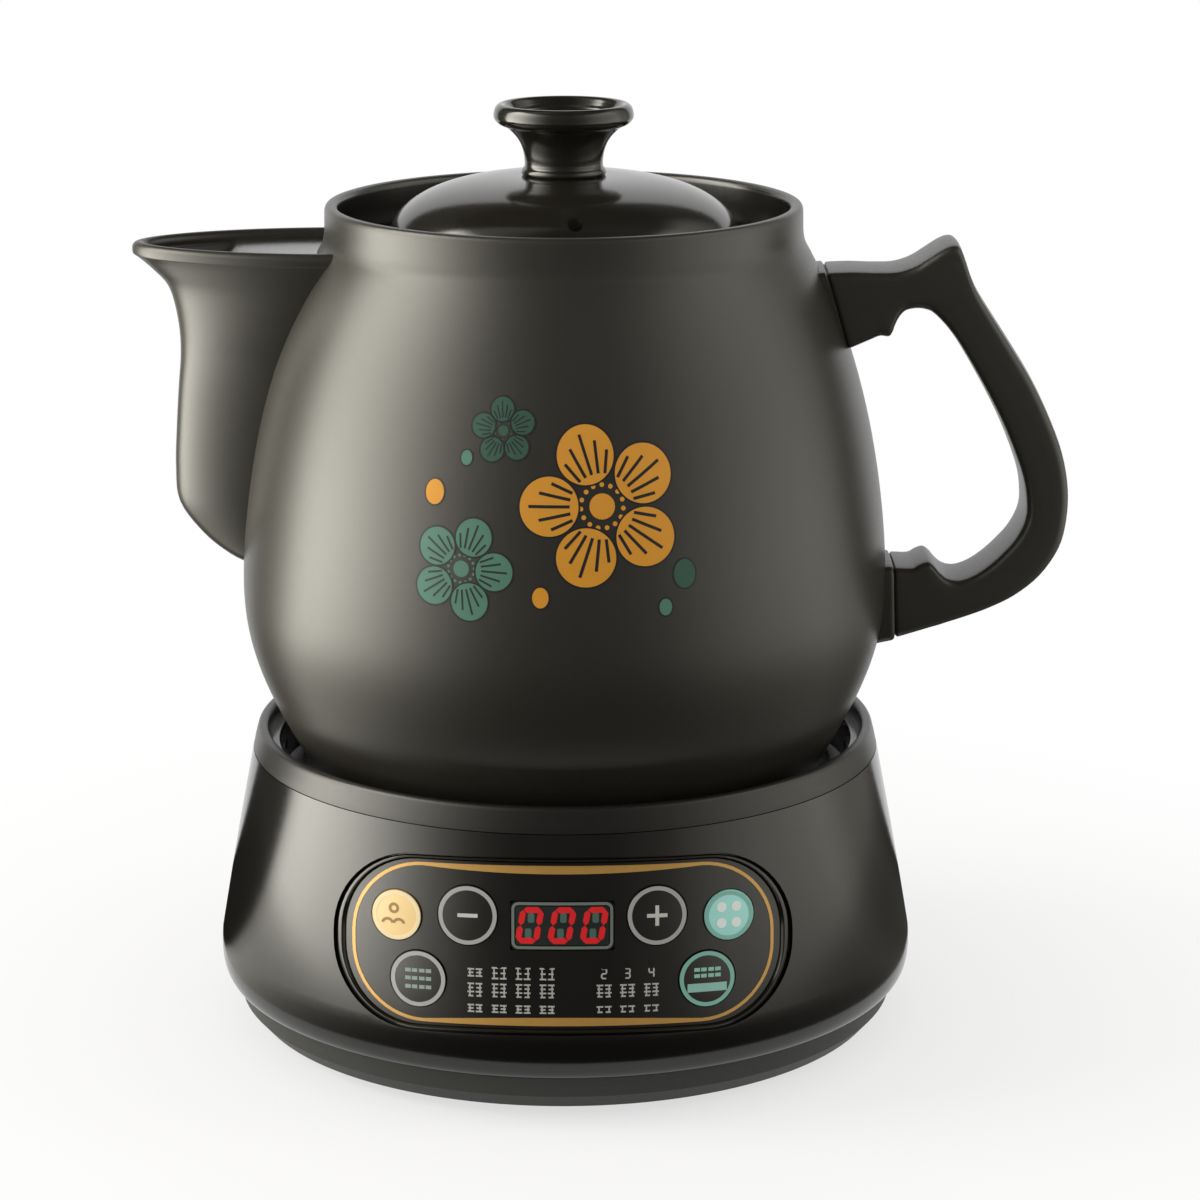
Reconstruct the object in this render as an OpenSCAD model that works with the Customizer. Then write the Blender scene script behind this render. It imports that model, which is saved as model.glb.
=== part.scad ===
// Electric herbal decoction pot: a glazed ceramic pot with a beaked spout, a loop handle and a
// lift-off lid, standing in a round heating base with a curved control panel.
// Origin: centre of the base, on the surface it stands on. +Z is up, the spout points to -X,
// the handle to +X and the control panel to -Y.

/* [Pot] */
// Height of the pot's flat bottom above the table
pot_z = 62; // [60:0.5:64]
// Radius of the pot's flat bottom
pot_bottom_r = 65; // [63:0.5:67]
// Greatest outer radius of the pot
pot_belly_r = 108.2; // [106:0.1:110]
// Height of the widest place above the pot's bottom
pot_belly_h = 90; // [86:1:94]
// Height from the widest place to the shoulder
pot_shoulder_h = 112; // [108:1:116]
// Outer radius of the neck
pot_neck_r = 79; // [78:0.5:81]
// Height of the neck and rim above the shoulder
pot_neck_h = 15.3; // [13:0.1:18]
// Radius of the mouth inside the rim
mouth_r = 74.5; // [73:0.5:75.5]
// Thickness of the pot's wall
pot_wall = 7; // [5:0.5:8]
// Depth of the lid's ledge below the rim
ledge_depth = 17.3; // [15:0.1:20]
// Inner radius of the ledge
ledge_r = 63; // [62:0.5:66]
// Radius of one strainer hole behind the spout
strainer_r = 2.25; // [1.5:0.25:2.75]
// Distance between strainer holes
strainer_pitch = 8; // [6.5:0.5:9]

/* [Spout] */
// Depth of the spout's lip below the pot's rim
spout_lip_depth = 12.8; // [11:0.2:16]
// How far the beak reaches past the pot's greatest radius
spout_reach = 34.9; // [32:0.1:40]
// Half width of the spout's mouth at the pot
spout_half_w = 31; // [27:0.5:34]
// Thickness of the spout's wall
spout_wall = 5; // [4:0.5:6]
// Length of the open beak in front of the bridge
beak_open = 31; // [26:1:36]
// Thickness of the bridge over the spout's root
bridge_t = 5.5; // [4:0.5:7]
// Depth of the bridge below the lip
bridge_depth = 2.5; // [1.5:0.5:4]

/* [Handle] */
// How far the handle reaches past the pot's greatest radius
handle_reach = 61.2; // [58:0.2:66]
// Width of the handle
handle_w = 26; // [22:1:30]
// Thickness of the grip
grip_t = 17; // [14:0.5:20]

/* [Lid] */
// Outer radius of the lid's flange
lid_flange_r = 70; // [68:0.5:72]
// Thickness of the lid's flange
lid_flange_t = 4; // [3:0.5:5]
// Radius of the dome where it leaves the flange
lid_dome_r = 57; // [55:0.5:59]
// Height of the dome's top above the ledge
lid_dome_h = 26.4; // [24:0.2:29]
// Wall of the dome
lid_wall = 5; // [4:0.5:6]
// Clearance between the lid's plug and the ledge
plug_gap = 2; // [1.5:0.25:3]
// Depth of the plug below the ledge
plug_h = 8; // [6:0.5:10]
// Radius of the steam hole
steam_r = 2.5; // [2:0.25:4]
// Distance of the steam hole from the lid's centre
steam_x = 50.6; // [47:0.2:51]

/* [Knob] */
// Greatest radius of the knob
knob_r = 23; // [21:0.1:26]
// Radius of the knob's neck
knob_neck_r = 13.2; // [12:0.1:15]
// Height of the knob
knob_h = 23.4; // [20:0.2:26]

/* [Base] */
// Height of the feet below the bottom housing
foot_h = 4; // [3:0.5:6]
// Radius of one foot
foot_r = 9; // [7:0.5:11]
// Distance of each foot's centre from the housing's edge
foot_inset = 21.6; // [18:0.2:26]
// How far the bottom housing's floor stands in from the widest skirt
bottom_inset = 10.7; // [9:0.1:12.5]
// Height of the lower band
band_h = 11.9; // [11:0.1:13]
// Greatest radius of the skirt
skirt_r = 118.3; // [117.5:0.1:119]
// Radius of the skirt's top edge
skirt_top_r = 105.9; // [105.4:0.1:106.4]
// Height of the deck above the table
deck_z = 96.5; // [96:0.5:98]
// Wall of the outer shell
shell_wall = 3; // [2.5:0.1:3.2]
// Height of the top ring above the deck
ring_h = 6.5; // [5.5:0.5:8]
// Width of the top ring
ring_w = 4.7; // [4.2:0.1:5.2]
// How far the housing screw posts stand in from the skirt's top edge
post_inset = 2.4; // [2.1:0.1:2.9]
// Thickness of the pan's sheet
pan_t = 0.8; // [0.6:0.1:1]
// Gap between the pan's upper wall and the skirt's top edge
pan_inset = 8.4; // [8:0.1:8.9]
// Height of the pan's floor above the table
pan_floor_z = 44.8; // [44.2:0.2:45.4]
// Radius of one vent hole in the pan
vent_r = 1.8; // [1.2:0.2:2.4]

/* [Panel] */
// Width of the panel recess
panel_w = 148; // [146:1:150]
// Height of the panel recess
panel_h = 56.8; // [56:0.2:58]
// How far the recess stands above the middle of the keys
panel_lift = 2.2; // [1.8:0.1:2.4]
// Height of the panel's centre above the table
panel_z = 57.8; // [57.4:0.2:58.4]
// Corner radius of the panel recess
panel_corner = 27; // [25:0.5:28]
// Width of the gilt line
gilt_w = 1.7; // [1.2:0.1:2.2]
// Distance from the recess edge to the gilt line at the panel's ends
gilt_inset = 7.2; // [6.8:0.1:7.6]
// Distance from the recess edge to the gilt line above and below the keys
gilt_edge = 2.9; // [2.7:0.1:3.2]
// Width of the bezel at the panel's ends
bezel_w = 4.2; // [3.6:0.2:4.8]
// Width of the bezel above and below the keys
bezel_edge = 2; // [1.6:0.1:2.2]
// Radius of the two upper keys
key_r = 9.5; // [8.5:0.1:9.8]
// Radius of the two filled keys
filled_key_r = 8; // [7.2:0.1:8.4]
// Radius of the two lower keys
lower_key_r = 9; // [8.2:0.1:9.4]
// Clearance around a key
key_gap = 0.3; // [0.2:0.05:0.4]
// How far a key travels
key_travel = 0.6; // [0.3:0.1:0.8]
// Width of the display window
window_w = 34; // [32:0.5:35]
// Height of the display window
window_h = 18; // [16:0.5:18.5]
// Radius of one light guide
light_r = 1.1; // [0.8:0.1:1.4]
// Room for the switches between the control board's ends and the skirt's surface
board_room = 7.1; // [7:0.1:7.5]

/* [Inside] */
// Radius of the heating plate
plate_r = 62; // [60:0.5:63]
// Thickness of the heating plate
plate_t = 8; // [7:0.5:9]
// Radius of the circle the heating tube is bent to
tube_circle_r = 38; // [36:0.5:40]
// Radius of the heating tube
tube_r = 3.3; // [2.8:0.1:3.4]
// Radius of the temperature sensor's cap
sensor_r = 11; // [10:0.25:12]
// How far the sensor's cap is pressed down
sensor_travel = 2.5; // [1:0.25:2.5]
// Thickness of a circuit board
board_t = 1.6; // [1.2:0.2:2]
// Width of the mains inlet
inlet_w = 28; // [26:0.5:30]
// Height of the mains inlet
inlet_h = 20.5; // [19:0.5:21.5]
// Height of the inlet's centre above the table
inlet_z = 36; // [35:0.5:37]

/* [Hidden] */
$fn = 96;
ROUND = 192;
SMALL = 32;
FINE = 0.2;
PASS = 1;

// Colours
GLAZE = "#2f2b26";
BLACK = "#141414";
DARK = "#26282a";
STEEL = "#b9bcc0";
ALLOY = "#9a9da1";
GILT = "#b8862f";
GREEN_BOARD = "#1f5a3a";
WHITE = "#e8e6df";
AMBER = "#f0c070";
AQUA = "#9fdccf";
GREY = "#8f9191";
COPPER = "#b06a3a";

// ---- Curves -------------------------------------------------------------------------------

// Points of a cubic Bezier curve with control points p, in n steps
function bezier(p, n) = [for (i = [0:n]) let (t = i / n)
    pow(1 - t, 3) * p[0] + 3 * pow(1 - t, 2) * t * p[1] + 3 * (1 - t) * t * t * p[2] + pow(t, 3) * p[3]];

function reverse(v) = [for (i = [len(v) - 1:-1:0]) v[i]];

function tail(v) = [for (i = [1:len(v) - 1]) v[i]];

// One value of a smooth curve through a, b, c and d, between b and c
function smooth(a, b, c, d, t) =
    0.5 * (2 * b + (c - a) * t + (2 * a - 5 * b + 4 * c - d) * t * t
    + (3 * b - a - 3 * c + d) * t * t * t);

// A list of stations made smooth, with n steps between each two
function smooth_rows(v, n) = concat(
    [for (i = [0:len(v) - 2]) for (k = [0:n - 1])
        smooth(v[max(i - 1, 0)], v[i], v[i + 1], v[min(i + 2, len(v) - 1)], k / n)],
    [v[len(v) - 1]]);

// A solid through rings of points, each ring with the same number of points
module loft(rings) {
    m = len(rings[0]);
    n = len(rings);
    points = [for (ring = rings) for (p = ring) p];
    sides = [for (i = [0:n - 2]) for (j = [0:m - 1]) let (k = (j + 1) % m)
        each [[i * m + j, i * m + k, (i + 1) * m + k], [i * m + j, (i + 1) * m + k, (i + 1) * m + j]]];
    first = [[for (j = [m - 1:-1:0]) j]];
    last = [[for (j = [0:m - 1]) (n - 1) * m + j]];
    polyhedron(points, concat(sides, first, last), convexity = 6);
}

module tube(outer, inner, h) {
    difference() {
        cylinder(r = outer, h = h);
        translate([0, 0, -PASS])
            cylinder(r = inner, h = h + 2 * PASS);
    }
}

module rounded_rect(w, h, r) {
    translate([-w / 2 + r, -h / 2])
        square([w - 2 * r, h]);
    translate([-w / 2, -h / 2 + r])
        square([w, h - 2 * r]);
    for (x = [-1, 1])
        for (y = [-1, 1])
            translate([x * (w / 2 - r), y * (h / 2 - r)])
                circle(r = r, $fn = 64);
}

// ---- Pot ----------------------------------------------------------------------------------

belly_z = pot_z + pot_belly_h;
shoulder_z = belly_z + pot_shoulder_h;
rim_z = shoulder_z + pot_neck_h;
ledge_z = rim_z - ledge_depth;
ledge_t = 6;
foot_round = [5.5, 2.5];
pot_steps = 9;

pot_lower = [
    [pot_bottom_r + foot_round[0], pot_z + foot_round[1]],
    [pot_bottom_r + 32.7, pot_z + 45.4],
    [pot_belly_r, belly_z - 26.5],
    [pot_belly_r, belly_z]];
pot_upper = [
    [pot_belly_r, belly_z],
    [pot_belly_r, belly_z + 14],
    [pot_belly_r - 2.5, shoulder_z - 44.4],
    [pot_neck_r + 2.1, shoulder_z]];
pot_curve = concat(bezier(pot_lower, pot_steps), tail(bezier(pot_upper, pot_steps)));
pot_outline = concat(
    [[0, pot_z], [pot_bottom_r, pot_z], [pot_bottom_r + 3.2, pot_z + 0.6]],
    pot_curve,
    [[pot_neck_r + 1, shoulder_z + 2.4], [pot_neck_r + 0.4, shoulder_z + 5.2],
     [pot_neck_r, shoulder_z + 8.6], [pot_neck_r - 0.1, rim_z - 1.8],
     [pot_neck_r - 0.7, rim_z - 0.5], [pot_neck_r - 1.8, rim_z]]);

inner_lower = [
    [pot_bottom_r - 1, pot_z + pot_wall],
    [pot_bottom_r + 25, pot_z + 42],
    [pot_belly_r - pot_wall, belly_z - 26.5],
    [pot_belly_r - pot_wall, belly_z]];
inner_upper = [
    [pot_belly_r - pot_wall, belly_z],
    [pot_belly_r - pot_wall, belly_z + 18],
    [pot_belly_r - pot_wall - 2.2, ledge_z - 50],
    [pot_neck_r - pot_wall + 10, ledge_z - 15]];
inner_outline = concat(
    [[mouth_r + 1.3, rim_z], [mouth_r + 0.3, rim_z - 0.6], [mouth_r, rim_z - 1.8], [mouth_r - 1, ledge_z],
     [ledge_r, ledge_z], [ledge_r, ledge_z - ledge_t], [ledge_r + 5, ledge_z - ledge_t - 3]],
    reverse(concat(bezier(inner_lower, pot_steps), tail(bezier(inner_upper, pot_steps)))),
    [[0, pot_z + pot_wall]]);

// Outer radius of the pot at a height
function pot_r_at(z) = lookup(z, [for (p = pot_curve) [p[1], p[0]]]);

// Everything inside the pot's outer surface
module pot_envelope() {
    rotate_extrude()
        polygon(concat(pot_outline, [[0, rim_z]]));
}

strainer_cols = 3;
strainer_rows = 6;
strainer_mid_z = belly_z + 54;

module pot_body() {
    color(GLAZE)
        difference() {
            rotate_extrude()
                polygon(concat(pot_outline, inner_outline));
            for (i = [0:strainer_cols - 1])
                for (k = [0:strainer_rows - 1])
                    translate([0, (i - (strainer_cols - 1) / 2) * strainer_pitch,
                               strainer_mid_z + (k - (strainer_rows - 1) / 2) * strainer_pitch])
                        rotate([0, -90, 0])
                            cylinder(r = strainer_r, h = pot_belly_r + PASS, $fn = SMALL);
        }
}

// ---- Spout --------------------------------------------------------------------------------

lip_z = rim_z - spout_lip_depth;
back = 14;

// Each station: depth below the lip, reach past the belly, half width, how sharp the beak is
spout_stations = [
    [110, -3, 6, 1],
    [105.5, 5.4, 12.5, 1],
    [98.5, 13.9, 14.5, 1],
    [88, 21.3, 15.5, 1],
    [76, 22.5, 16, 1],
    [60, 21.5, 16.3, 1],
    [44, 20.1, 17, 1],
    [31, 19.9, 21, 1.1],
    [20, spout_reach - 13, 26, 1.4],
    [10, spout_reach - 6.3, spout_half_w - 1.5, 1.7],
    [0, spout_reach, spout_half_w, 1.9]];
spout_rows = smooth_rows(spout_stations, 3);
spout_half_steps = 9;

// One level ring of the spout, drawn in by a wall
function spout_ring(row, wall, rise) =
    let (z = lip_z - row[0] + rise, root = pot_r_at(min(z, shoulder_z)) - 8,
         reach = pot_belly_r + row[1] - wall - root, half = row[2] - wall)
    concat([[-root + back, half, z], [-root + back, -half, z]],
        [for (i = [-spout_half_steps:spout_half_steps]) let (a = 90 * i / spout_half_steps)
            [-root - reach * cos(a), sign(i) * half * pow(abs(sin(a)), row[3]), z]]);

module spout_form(wall, first, rise) {
    n = len(spout_rows) - 1;
    loft(concat([for (i = [first:n]) spout_ring(spout_rows[i], wall, 0)],
        rise > 0 ? [spout_ring(spout_rows[n], wall, rise)] : []));
}

module spout() {
    open_x = pot_belly_r + spout_reach - beak_open;
    color(GLAZE)
        difference() {
            spout_form(0, 0, 0);
            difference() {
                spout_form(spout_wall, 5, PASS);
                translate([-open_x, -spout_half_w, lip_z - bridge_depth - bridge_t])
                    cube([open_x, 2 * spout_half_w, bridge_t]);
            }
            pot_envelope();
        }
}

// ---- Handle -------------------------------------------------------------------------------

// Each station: outer edge as reach past the belly and depth below the rim, the inner edge the
// same way, and the width as a share of the handle's width
handle_stations = [
    [-34, 21.8, -34, 48.5, 1.1],
    [-17, 20.8, -16, 49.2, 1.12],
    [-6, 20.2, -8, 45.5, 1],
    [4, 19.4, 0, 38.8, 0.98],
    [13, 15.6, 6.5, 34.6, 0.98],
    [20.6, 14.2, 11.5, 34.1, 0.98],
    [25.2, 18.6, 15.4, 37.2, 0.98],
    [29.2, 29.6, 20.8, 43.8, 0.98],
    [38.2, 46.6, 38.2 - 0.76 * grip_t, 46.6 + 0.28 * grip_t, 0.96],
    [50.4, 66.6, 50.4 - 0.83 * grip_t, 66.6 + 0.2 * grip_t, 0.96],
    [handle_reach - 2.4, 87.6, handle_reach - 2.4 - 0.92 * grip_t, 87.6 + 0.16 * grip_t, 0.96],
    [handle_reach, 107.3, handle_reach - grip_t, 107.3 - 0.1 * grip_t, 0.96],
    [handle_reach - 4, 121.9, handle_reach - 4 - 0.9 * grip_t, 121.9 - 0.5 * grip_t, 0.96],
    [43.8, 135.9, 36.5, 119.5, 0.96],
    [26.6, 143.1, 22, 123.7, 0.98],
    [5, 149.6, 4, 120.6, 1.08],
    [-16, 153, -16, 117, 1.12]];
handle_rows = smooth_rows(handle_stations, 3);
handle_sides = 20;
squareness = 0.62;

function signed_pow(v, e) = sign(v) * pow(abs(v), e);

// A ring across the handle between its outer and inner edge
function handle_ring(row) =
    let (o = [pot_belly_r + row[0], rim_z - row[1]], i = [pot_belly_r + row[2], rim_z - row[3]],
         mid = (o + i) / 2, half = (o - i) / 2, w = handle_w * row[4] / 2)
    [for (k = [0:handle_sides - 1]) let (a = 360 * k / handle_sides,
         u = signed_pow(cos(a), squareness), v = signed_pow(sin(a), squareness))
        [mid[0] + half[0] * u, v * w, mid[1] + half[1] * u]];

module pot_handle() {
    color(GLAZE)
        difference() {
            loft([for (row = handle_rows) handle_ring(row)]);
            pot_envelope();
        }
}

// ---- Lid and knob -------------------------------------------------------------------------

flange_top_z = ledge_z + lid_flange_t;
dome_z = ledge_z + lid_dome_h;
plug_r = ledge_r - plug_gap;
plug_t = 4;
steam_angle = 4.6;

module lid() {
    outside = bezier([
        [lid_dome_r, flange_top_z + 3],
        [lid_dome_r - 2, flange_top_z + 14.5],
        [lid_dome_r - 19, dome_z - 0.2],
        [knob_neck_r + 0.2, dome_z]], 9);
    inside = bezier([
        [lid_dome_r - lid_wall, flange_top_z],
        [lid_dome_r - lid_wall - 3, flange_top_z + 9],
        [lid_dome_r - lid_wall - 16, dome_z - lid_wall - 2.8],
        [knob_neck_r, dome_z - lid_wall]], 9);
    color(GLAZE)
        difference() {
            rotate_extrude()
                polygon(concat(
                    [[0, dome_z - lid_wall]],
                    reverse(inside),
                    [[lid_dome_r - lid_wall + 2, ledge_z - plug_h], [lid_dome_r + 1, ledge_z - plug_h],
                     [plug_r, ledge_z - plug_h + 2], [plug_r, ledge_z], [lid_flange_r, ledge_z],
                     [lid_flange_r, flange_top_z - 1], [lid_flange_r - 1, flange_top_z],
                     [lid_dome_r + 2.5, flange_top_z + 0.5], [lid_dome_r + 0.6, flange_top_z + 1.5]],
                    outside,
                    [[0, dome_z]]));
            rotate([0, 0, steam_angle])
                translate([0, -steam_x, ledge_z])
                    cylinder(r = steam_r, h = lid_dome_h + PASS, $fn = SMALL);
        }
}

knob_top_z = dome_z + knob_h;

module lid_knob() {
    flare = bezier([
        [knob_neck_r - 0.3, dome_z + 3.1],
        [knob_neck_r - 0.3, knob_top_z - 13.3],
        [knob_r - 7.5, knob_top_z - 10.3],
        [knob_r - 3.8, knob_top_z - 7.5]], 7);
    color(GLAZE)
        rotate_extrude()
            polygon(concat(
                [[0, dome_z], [knob_neck_r + 0.2, dome_z], [knob_neck_r + 0.8, dome_z + 1.1],
                 [knob_neck_r, dome_z + 2.5]],
                flare,
                [[knob_r - 1.2, knob_top_z - 6.5], [knob_r, knob_top_z - 4.8], [knob_r, knob_top_z - 3.2],
                 [knob_r - 0.6, knob_top_z - 1.2], [knob_r - 1.8, knob_top_z - 0.2],
                 [knob_r - 2.8, knob_top_z], [knob_r - 4.2, knob_top_z - 0.5],
                 [knob_r - 5.6, knob_top_z - 2.3], [knob_r - 6.6, knob_top_z - 3.5],
                 [0, knob_top_z - 4.4]]));
}

// ---- Base shell ---------------------------------------------------------------------------

bottom_r = skirt_r - bottom_inset;
edge_z = foot_h + band_h;
edge_r = bottom_r + 5.9;
round_z = edge_z + 14.1;
skirt_low = [
    [edge_r, edge_z], [skirt_r - 0.3, edge_z + 0.6], [skirt_r + 0.7, edge_z + 6], [skirt_r, round_z]];
skirt_high = [
    [skirt_r, round_z],
    [skirt_r - 4.8, round_z + 28],
    [skirt_top_r + 3.6, deck_z - 18.5],
    [skirt_top_r, deck_z]];

// Outline of the skirt, drawn in by an inset
function skirt_points(inset) =
    [for (p = concat(bezier(skirt_low, 5), tail(bezier(skirt_high, 8)))) [p[0] - inset, p[1]]];

// Radius of the skirt's surface at a height
function skirt_r_at(z) = lookup(z, [for (p = skirt_points(0)) [p[1], p[0]]]);

// Everything inside the skirt's surface, drawn in by an inset
module skirt_solid(inset) {
    rotate_extrude($fn = ROUND)
        polygon(concat([[0, edge_z]], skirt_points(inset), [[0, deck_z]]));
}

// A skin that follows the skirt between two insets
module skirt_skin(near, far) {
    rotate_extrude($fn = ROUND)
        polygon(concat(skirt_points(near), reverse(skirt_points(far))));
}

ring_r = skirt_top_r - ring_w;
pan_r = skirt_top_r - pan_inset;
post_circle_r = skirt_top_r - post_inset;
deck_t = 3;
deck_r = pan_r + 2;
post_r = 4;
post_angle = 38;
post_z = edge_z + 4.1;
screw_r = 1.5;
pilot_r = 1.55;
screw_bite = 14;
post_angles = [post_angle, 180 - post_angle, 180 + post_angle, -post_angle];

module at_posts() {
    for (a = post_angles)
        rotate([0, 0, a])
            translate([post_circle_r, 0, 0])
                children();
}

pad_y = 104;
pad_margin = 10;
inlet_screw_x = inlet_w / 2 + 5;
inlet_screw_depth = 6;

module inlet_pad() {
    intersection() {
        translate([-inlet_w / 2 - pad_margin, pad_y, inlet_z - inlet_h / 2 - 1.5])
            cube([inlet_w + 2 * pad_margin, skirt_r - pad_y, inlet_h + 3]);
        skirt_solid(FINE);
    }
}

module outer_shell() {
    color(BLACK)
        difference() {
            union() {
                skirt_skin(0, shell_wall);
                translate([0, 0, deck_z - deck_t])
                    tube(skirt_r_at(deck_z) - FINE, deck_r, deck_t);
                intersection() {
                    at_posts()
                        translate([0, 0, post_z])
                            cylinder(r = post_r, h = deck_z - deck_t / 2 - post_z, $fn = SMALL);
                    skirt_solid(FINE);
                }
                inlet_pad();
            }
            at_posts()
                translate([0, 0, post_z - PASS])
                    cylinder(r = pilot_r, h = screw_bite + 2 * PASS, $fn = SMALL);
            panel_cut(panel_w, panel_h, panel_corner);
            translate([-inlet_w / 2 - FINE, pad_y - PASS, inlet_z - inlet_h / 2 - FINE])
                cube([inlet_w + 2 * FINE, skirt_r - pad_y + 2 * PASS, inlet_h + 2 * FINE]);
            for (x = [-1, 1])
                translate([x * inlet_screw_x, pad_y - PASS, inlet_z])
                    rotate([-90, 0, 0])
                        cylinder(r = pilot_r, h = inlet_screw_depth + PASS, $fn = SMALL);
        }
}

module top_ring() {
    low = deck_z + pan_t;
    high = deck_z + ring_h;
    color(BLACK)
        rotate_extrude()
            polygon([[ring_r - 1.6, low], [skirt_top_r - 2.2, low], [skirt_top_r - 2.2, deck_z + 0.3],
                [skirt_top_r - 0.9, deck_z + 0.3], [skirt_top_r - 0.8, deck_z + ring_h / 2],
                [skirt_top_r - 1.2, high - 1.2], [skirt_top_r - 2.2, high - 0.1], [skirt_top_r - 2.9, high],
                [ring_r + 0.9, high], [ring_r + 0.1, high - 0.4], [ring_r - 0.3, high - 1.2],
                [ring_r - 1.2, high - 3.8]]);
}

// ---- Bottom housing -----------------------------------------------------------------------

floor_t = 2.5;
floor_z = foot_h + floor_t;
foot_circle_r = bottom_r - foot_inset;
foot_pin_r = 3;
boss_r = 5;
head_r = 3.2;
head_h = 2;
head_seat_z = floor_z + 5.5;
tongue_gap = 0.3;
foot_angle = 45;
vent_slot = [46, 3];
vent_rows = 5;
vent_pitch = 9;
board_post_r = 3.5;
board_z = 16;
board_size = [112, 62];
board_mid_y = 46;
board_inset = 5;

module at_feet() {
    for (a = [foot_angle:90:foot_angle + 270])
        rotate([0, 0, a])
            translate([foot_circle_r, 0, 0])
                children();
}

module at_board_posts() {
    for (x = [-1, 1])
        for (y = [-1, 1])
            translate([
                x * (board_size[0] / 2 - board_inset),
                board_mid_y + y * (board_size[1] / 2 - board_inset), 0])
                children();
}

module bottom_housing() {
    tongue_r = edge_r - shell_wall - tongue_gap;
    color(DARK)
        difference() {
            union() {
                rotate_extrude()
                    polygon([[0, foot_h], [bottom_r, foot_h], [bottom_r + 4.4, foot_h + 5],
                        [edge_r - 0.1, edge_z - FINE], [tongue_r, edge_z - FINE], [tongue_r, edge_z + 6],
                        [tongue_r - 2.2, edge_z + 6], [tongue_r - 2.2, edge_z - 2], [bottom_r - 2, floor_z],
                        [0, floor_z]]);
                at_posts()
                    translate([0, 0, foot_h + floor_t / 2])
                        cylinder(r = boss_r, h = post_z - FINE - foot_h - floor_t / 2, $fn = SMALL);
                at_board_posts()
                    translate([0, 0, foot_h + floor_t / 2])
                        cylinder(r = board_post_r, h = board_z - foot_h - floor_t / 2, $fn = SMALL);
            }
            at_posts() {
                translate([0, 0, foot_h - PASS])
                    cylinder(r = head_r + 0.4, h = head_seat_z - foot_h + PASS, $fn = SMALL);
                translate([0, 0, foot_h])
                    cylinder(r = screw_r + 0.3, h = post_z, $fn = SMALL);
            }
            at_feet()
                translate([0, 0, foot_h - PASS])
                    cylinder(r = foot_pin_r + 0.1, h = floor_t + 2 * PASS, $fn = SMALL);
            at_board_posts()
                translate([0, 0, floor_z])
                    cylinder(r = pilot_r, h = board_z, $fn = SMALL);
            for (k = [0:vent_rows - 1])
                translate([-vent_slot[0] / 2, -60 + k * vent_pitch, foot_h - PASS])
                    cube([vent_slot[0], vent_slot[1], floor_t + 2 * PASS]);
        }
}

module rubber_feet() {
    color(DARK)
        at_feet() {
            cylinder(r1 = foot_r - 1, r2 = foot_r, h = foot_h, $fn = 48);
            translate([0, 0, foot_h - FINE])
                cylinder(r = foot_pin_r, h = floor_t + FINE, $fn = SMALL);
        }
}

// A pan-head screw pointing up, its head's underside at z = 0
module screw(length) {
    translate([0, 0, -head_h])
        cylinder(r = head_r - 0.4, h = head_h, $fn = SMALL);
    translate([0, 0, -FINE])
        cylinder(r = screw_r, h = length + FINE, $fn = SMALL);
}

module housing_screws() {
    color(STEEL)
        at_posts()
            translate([0, 0, head_seat_z])
                screw(post_z - head_seat_z + screw_bite - 1);
}

// ---- Pan and heater -----------------------------------------------------------------------

plate_z = pot_z - plate_t;
step_z = 81;
pan_floor_r = plate_r + 9;
standoff_circle_r = 50;
standoff_r = 5;
plate_screw_r = 2;
plate_hole_gap = 0.2;
insulation_t = 2;
insulation_r = pan_floor_r - 3;
insulation_z = pan_floor_z - pan_t - insulation_t;
vent_count = 24;
vent_z = 88.5;
sensor_hole_r = sensor_r + 2;
tube_z = plate_z - tube_r - FINE;
tube_gap_angle = 20;
lead_r = 2.5;
lead_hole_r = 4;
lead_bottom_z = 33;

// Inside of the pan from its middle to the top of its wall
pan_inside = [
    [0, pan_floor_z], [pan_floor_r, pan_floor_z], [pan_floor_r + 5, pot_z],
    [pan_r - 13, step_z], [pan_r, step_z + 2.5], [pan_r, deck_z + pan_t]];
pan_outside = [
    [pan_r + pan_t, deck_z], [pan_r + pan_t, step_z + 2.5 - pan_t / 2],
    [pan_r - 13 + pan_t, step_z - pan_t / 2],
    [pan_floor_r + 5 + pan_t, pot_z], [pan_floor_r + pan_t, pan_floor_z - pan_t], [0, pan_floor_z - pan_t]];

// The bends of the sheath, where its cold ends go down
module at_leads() {
    for (side = [-1, 1])
        rotate([0, 0, 90 + side * tube_gap_angle])
            translate([tube_circle_r, 0, 0])
                children();
}

module at_standoffs() {
    for (a = [30, 150, 270])
        rotate([0, 0, a])
            translate([standoff_circle_r, 0, 0])
                children();
}

module reflector_pan() {
    flange_r = skirt_top_r - 2.5;
    color(STEEL)
        difference() {
            rotate_extrude()
                polygon(concat(pan_inside, [[flange_r, deck_z + pan_t], [flange_r, deck_z]], pan_outside));
            for (k = [0:vent_count - 1])
                rotate([0, 0, (k + 0.5) * 360 / vent_count])
                    translate([pan_r - 2, 0, vent_z])
                        rotate([0, 90, 0])
                            cylinder(r = vent_r, h = 5, $fn = 24);
            at_standoffs()
                translate([0, 0, pan_floor_z - 2 * pan_t])
                    cylinder(r = plate_screw_r + plate_hole_gap, h = 3 * pan_t, $fn = SMALL);
            at_leads()
                translate([0, 0, pan_floor_z - 2 * pan_t])
                    cylinder(r = lead_hole_r, h = 3 * pan_t, $fn = SMALL);
        }
}

module heating_plate() {
    color(ALLOY)
        difference() {
            translate([0, 0, plate_z])
                cylinder(r = plate_r, h = plate_t);
            translate([0, 0, plate_z - PASS])
                cylinder(r = sensor_hole_r, h = plate_t + 2 * PASS);
            at_standoffs()
                translate([0, 0, plate_z - PASS])
                    cylinder(r = plate_screw_r + 0.05, h = plate_t - 1, $fn = SMALL);
        }
}

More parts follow.
